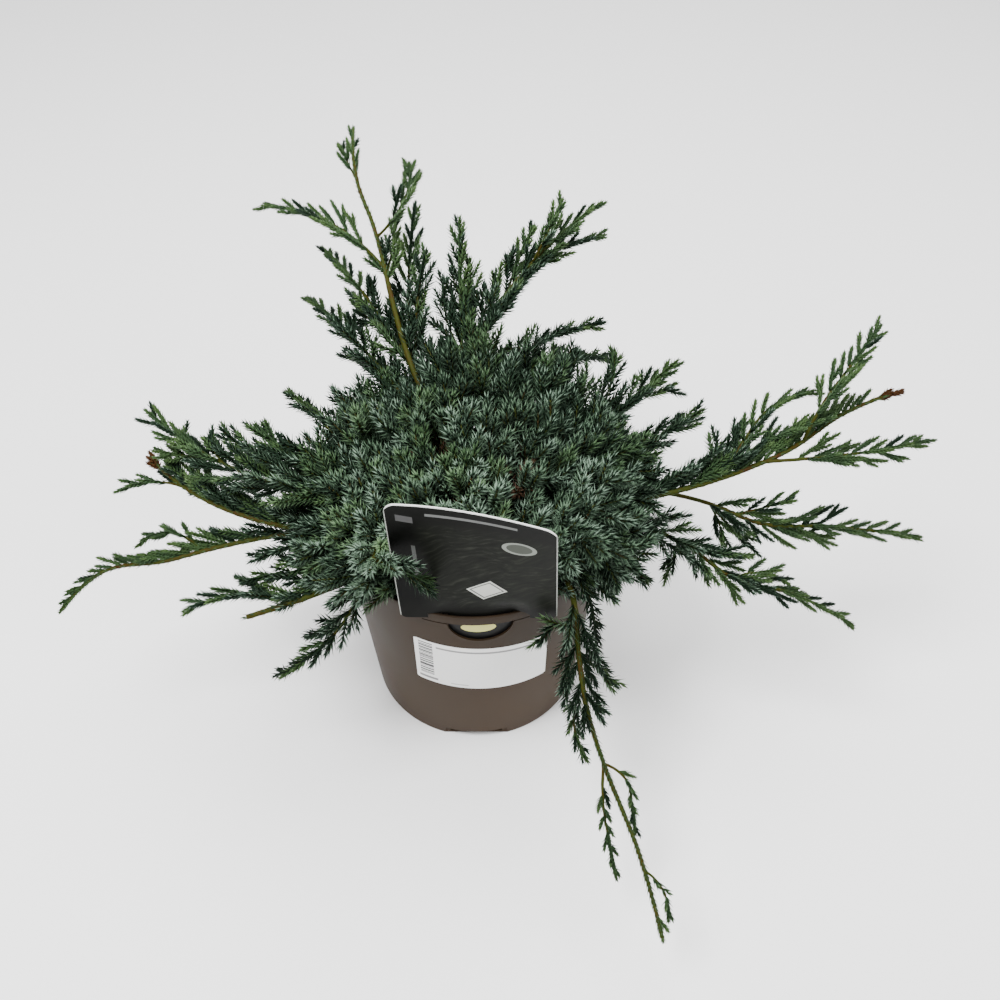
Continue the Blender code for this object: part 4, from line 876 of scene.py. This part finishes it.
def leader_tone(reach):
    """A tone for a spray on a leading shoot: blue near the crown, green further out."""
    inner = float(np.clip((210 * MM - reach) / (100 * MM), 0, 1))
    chance = dice.random()
    if chance < 0.08 + 0.78 * inner:
        return "blue"
    return "leaf" if chance < 0.50 + 0.50 * inner else "green"


for name, line in lines.items():
    leafy_from = LEADERS[name][3] if name in LEADERS else 0.15
    cut = name in CUT_SHORT
    length = lengths_along(line)[-1]
    leafy_length = length * (1 - leafy_from)
    count = round(leafy_length / TWIG_PITCH)
    hand = dice.choice((-1, 1))
    rolls = (-5, 75) if name in FAR_SIDED else (-25, 50)
    bare_from, bare_to = BARE_RUNS.get(name, (1, 1))
    for index in range(count):
        hand = (1 if line[-1][0] > 0 else -1) if name in FAR_SIDED else -hand
        share = leafy_from + ((0.95 if cut else 0.98) - leafy_from) * (index + dice.uniform(0.1, 0.6)) / count
        if bare_from < share < bare_to:
            continue
        left = length * (1 - share)
        spot = points_on(line, share)[0]
        reach = math.hypot(spot[0], spot[1])
        longest = 27 * MM + 12 * MM * min(1, max(0, (150 * MM - reach) / (60 * MM)))
        twig_length = min(longest, 0.19 * left + 7 * MM) * dice.uniform(0.75, 1.15) * FULLNESS.get(name, 1)
        add_twig(line, share, hand, twig_length, 1, leader_tone(reach), rolls, name in OVER_CARD)
    tip_tone = leader_tone(math.hypot(line[-1][0], line[-1][1]))
    leaf_out(points_on(line, np.linspace(max(leafy_from, 0.30), 1, 24)),
             0 if cut else THORNY.get(name, 52) * MM, tip_tone, THORN_PITCH.get(name, 3.6) * MM)
    if name in DRIED_TIPS:
        for side in (-1, 1) * 3:
            add_twig(line, dice.uniform(0.955, 0.99), side, 6 * MM, 2, "dried", (-80, 80))

CROWN_SHOOTS = 205
CROWN_TOP = 224
CROWN_DROP = 36
CROWN_BACK_RISE = 46
CROWN_FOCUS = np.array((0, -36, 0)) * MM
CROWN_HALF_WIDTH = 124
CROWN_BACK = 104
CROWN_FRONT = 86
SKIRTS = ((-47, 4, 28, 158, 188), (188, 234, 26, 158, 188), (0, 15, 9, 182, 202))
HOLLOWS = ((at(159.3, 26, 205), 14 * MM), (at(-20.6, 29, 205), 15 * MM), (at(-120.1, 33, 205), 8 * MM))
golden = math.pi * (3 - math.sqrt(5))
crown_lines = []


def hollow_at(points):
    """Tells whether points lie in one of the gaps of the crown where old needles have died."""
    raised = Vector((0, -5 * MM, 7 * MM))
    return any((np.linalg.norm(points - np.array(centre + raised), axis=1) < radius).any()
               for centre, radius in HOLLOWS)


def crown_shoot(tip, heading, steepness, tone):
    """A short leafy shoot of the crown: it comes from the trunk and ends at a tip, pointing outwards."""
    way = np.array((math.cos(steepness) * math.cos(heading), math.cos(steepness) * math.sin(heading),
                    math.sin(steepness)))
    foot = tip * (1, 1, 0)
    foot = foot / np.linalg.norm(foot) * 4 * MM + np.array((0, 0, min(182 * MM, max(152 * MM, tip[2] - 38 * MM))))
    line = flowing([foot, tip - way * 42 * MM, tip])
    length = lengths_along(line)[-1]
    last = max(0.2, 1 - 62 * MM / length)
    leafy = points_on(line, np.linspace(last, 1, 22))
    if not room_for(leafy) or hollow_at(leafy[8:]):
        return
    crown_lines.append(line)
    leaf_out(leafy, 52 * MM, tone)
    hand = dice.choice((-1, 1))
    for step in range(5):
        hand = -hand
        share = 1 - (1 - last) * (0.92 - 0.66 * (step + dice.uniform(0.1, 0.6)) / 5)
        twig_length = (0.36 * length * (1 - share) + 9 * MM) * dice.uniform(0.85, 1.2)
        add_twig(line, share, hand, twig_length, 1, tone, (-90, 90))


def crown_tone(tip):
    """A tone for a shoot of the crown: mostly blue, with greener patches, and many shoots in a darker copy of the
    blue, painted shade for the gaps of the crown.
    """
    if noise.noise(Vector(tip) * 26) > 0.36:
        return "moss"
    return dice.choices(("blue", "deep", "moss"), (0.50, 0.40, 0.10))[0]


for index in range(CROWN_SHOOTS):
    share = math.sqrt((index + 0.5) / CROWN_SHOOTS)
    angle = golden * index
    depth = CROWN_BACK if math.sin(angle) > 0 else CROWN_FRONT
    rise = CROWN_BACK_RISE * share * max(0, math.sin(angle)) ** 2 - CROWN_DROP * share ** 2
    tip = np.array((CROWN_HALF_WIDTH * share * math.cos(angle), depth * share * math.sin(angle),
                    CROWN_TOP + rise + dice.uniform(-16, 10))) * MM
    from_focus = tip - CROWN_FOCUS
    steepness = math.radians(80 - 40 * math.hypot(from_focus[0], from_focus[1]) / (130 * MM) + dice.uniform(-12, 12))
    heading = math.atan2(from_focus[1], from_focus[0])
    crown_shoot(tip, heading + dice.uniform(-0.3, 0.3), steepness, crown_tone(tip))
for first_heading, last_heading, count, low, high in SKIRTS:
    for index in range(count):
        heading = dice.uniform(first_heading, last_heading)
        tip = at(heading, dice.uniform(98, 130), dice.uniform(low, high))
        crown_shoot(tip, math.radians(heading + dice.uniform(-18, 18)), math.radians(dice.uniform(-18, 28)),
                    crown_tone(tip))
for centre, radius in HOLLOWS:
    for index in range(round(radius / MM)):
        heading = golden * index
        lift = dice.uniform(0.2, 1.2)
        way = np.array((math.cos(heading) * math.cos(lift), math.sin(heading) * math.cos(lift), math.sin(lift)))
        root = np.array(centre) - np.array((0, 0, 16 * MM))
        sprig = root + way * np.linspace(0, 1, 7)[:, None] * radius * dice.uniform(1.1, 1.6)
        twigs.append((sprig, 1, "dead"))

foliage_nodes = [node for node in material_slots if node.startswith("foliage_")]
stems = []
for line, order, tone in twigs:
    if order:
        thick = (0.75, 0.70, 0.55)[order] * MM
        stems.append(bark_tube(line, thick * (1 - 0.6 * np.linspace(0, 1, 3)), 3, 0))
for line in crown_lines:
    stems.append(bark_tube(line, 1.5 * MM * (1 - 0.6 * np.linspace(0, 1, 8)), 6, 0))
twig_bark = Finish("green_twig_bark")
mottle = twig_bark.clouds(twig_bark.place(), 160.0, 3.0, 0.6)
twig_bark_material = twig_bark.surface(
    Base_Color=twig_bark.ramped(mottle, ((0.36, (0.028, 0.016, 0.0026)), (0.46, (0.027, 0.0310, 0.0028)),
                                         (0.66, (0.020, 0.0330, 0.0036)))),
    Roughness=0.65,
    Specular_IOR_Level=0.12,
)
halfway = len(stems) // 2
for number, parcel in enumerate((stems[:halfway], stems[halfway:])):
    twig_piece = joined_mesh(f"twigs_{number + 1}", parcel)
    twig_piece.data.materials.append(twig_bark_material)
    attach(twig_piece, "root")
    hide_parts(*foliage_nodes)


# Needles. Stiff sharp awl-shaped needles in whorls of three, silvery on the face that looks at the
# twig's tip and blue-green below. Each is four flat faces, joined by tone of colour.
TONES = {
    "silver": ((0.0120, 0.0250, 0.0145), (0.140, 0.208, 0.150)),
    "blue": ((0.0085, 0.0195, 0.0098), (0.070, 0.119, 0.071)),
    # A darker copy of the blue tone: painted shade, dealt to crown shoots to darken the gaps between them.
    "deep": ((0.0045, 0.0112, 0.0054), (0.032, 0.060, 0.034)),
    "moss": ((0.0090, 0.0200, 0.0082), (0.054, 0.098, 0.046)),
    "green": ((0.0380, 0.0720, 0.0255), (0.105, 0.180, 0.078)),
    "leaf": ((0.0270, 0.0540, 0.0220), (0.082, 0.142, 0.068)),
    "fresh": ((0.0480, 0.0860, 0.0280), (0.135, 0.215, 0.092)),
    "dead": ((0.018, 0.0085, 0.0036), (0.048, 0.023, 0.010)),
    "dried": ((0.050, 0.020, 0.006), (0.095, 0.042, 0.014)),
}
# The lighter tone that each spray's tip takes is partly paler fresh growth and partly painted light; the painted-shade
# copy of blue turns back to plain blue there.
LIGHTER = {"silver": "silver", "moss": "leaf", "blue": "silver", "deep": "blue", "green": "fresh", "leaf": "green",
           "fresh": "fresh", "dead": "dead", "dried": "dried"}
NEEDLE_FACES = ((0, 2, 1), (3, 1, 2), (0, 1, 3), (0, 3, 2))
gathered = {tone: [] for tone in TONES}
number_dice = np.random.default_rng(41)


def dress(line, pitch, needle_length, needle_spread, half_width, tone):
    """Needles in whorls of three along a line, closing up into a bud at its tip."""
    length = lengths_along(line)[-1]
    count = max(3, int(length / pitch))
    shares = np.linspace(0.03, 1.0, count)
    centres = points_on(line, shares)
    ahead = headings_on(line, shares)
    side, up = square_to(ahead)
    whorl_turn = number_dice.uniform(0, 6) + np.arange(count) * math.pi / 3
    from_tip = (1 - shares) * length
    open_out = np.clip(from_tip / (4 * MM), 0, 1)
    spread = np.radians(16 + (needle_spread - 16) * open_out)
    long = needle_length * (0.75 + 0.25 * open_out) * number_dice.uniform(0.88, 1.12, count)
    # The last whorls take the lighter tone. Part of this is fresh growth and part is painted light: the tip is painted
    # lit and the older needles behind it are painted as if shaded.
    light = from_tip < min(0.34 * length, 6 * MM)
    for third in range(3):
        angle = whorl_turn + third * math.tau / 3 + number_dice.uniform(-0.12, 0.12, count)
        tilt = spread + number_dice.uniform(-0.08, 0.08, count)
        away = side * np.cos(angle)[:, None] + up * np.sin(angle)[:, None]
        axis = ahead * np.cos(tilt)[:, None] + away * np.sin(tilt)[:, None]
        back = away * np.cos(tilt)[:, None] - ahead * np.sin(tilt)[:, None]
        broad = np.cross(ahead, away)
        body = long[:, None]
        root = centres + away * 0.3 * MM
        left = root + axis * body * 0.34 + (broad - back * 0.7) * half_width
        right = root + axis * body * 0.34 - (broad + back * 0.7) * half_width
        tip = root + axis * body - back * body * 0.06
        needles = np.stack((root, left, right, tip), axis=1)
        gathered[tone].append(needles[~light])
        gathered[LIGHTER[tone]].append(needles[light])


for line, order, tone in twigs:
    middle = points_on(line, 0.5)[0]
    inner = float(np.clip((200 * MM - math.hypot(middle[0], middle[1])) / (110 * MM), 0, 1))
    dress(line, (1.10 + 0.62 * inner) * MM, (5.4 + 4.0 * inner) * MM, 29 + 14 * inner,
          (0.92 - 0.10 * inner) * MM, tone)
for line, tone, pitch in bare_stems:
    dress(line, pitch, 6.6 * MM, 27, 0.72 * MM, tone)

needle_count = 0
for tone, (under, upper) in TONES.items():
    if not gathered[tone]:
        continue
    needles = np.concatenate(gathered[tone])
    needle_count += len(needles)
    parcels = np.array_split(needles, max(1, math.ceil(len(needles) / 48000)))
    skins = []
    for part_name, colour, gloss in (("under", under, 0.08), ("upper", upper, 0.25)):
        skin = Finish(f"needle_{tone}_{part_name}")
        skins.append(skin.surface(Base_Color=(*colour, 1), Roughness=0.55, Specular_IOR_Level=gloss))
    for number, parcel in enumerate(parcels):
        mesh = bpy.data.meshes.new(f"needles_{tone}_{number + 1}")
        count = len(parcel)
        mesh.vertices.add(count * 4)
        mesh.vertices.foreach_set("co", parcel.reshape(-1))
        corners = (np.arange(count)[:, None, None] * 4 + np.array(NEEDLE_FACES)[None]).reshape(-1)
        mesh.loops.add(len(corners))
        mesh.loops.foreach_set("vertex_index", corners.astype(np.int32))
        mesh.polygons.add(count * 4)
        mesh.polygons.foreach_set("loop_start", np.arange(0, count * 12, 3, dtype=np.int32))
        mesh.polygons.foreach_set("material_index", np.tile((1, 1, 0, 0), count).astype(np.int32))
        mesh.update(calc_edges=True)
        for skin_material in skins:
            mesh.materials.append(skin_material)
        piece = bpy.data.objects.new(mesh.name, mesh)
        bpy.context.scene.collection.objects.link(piece)
        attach(piece, "root")
        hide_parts(*foliage_nodes)
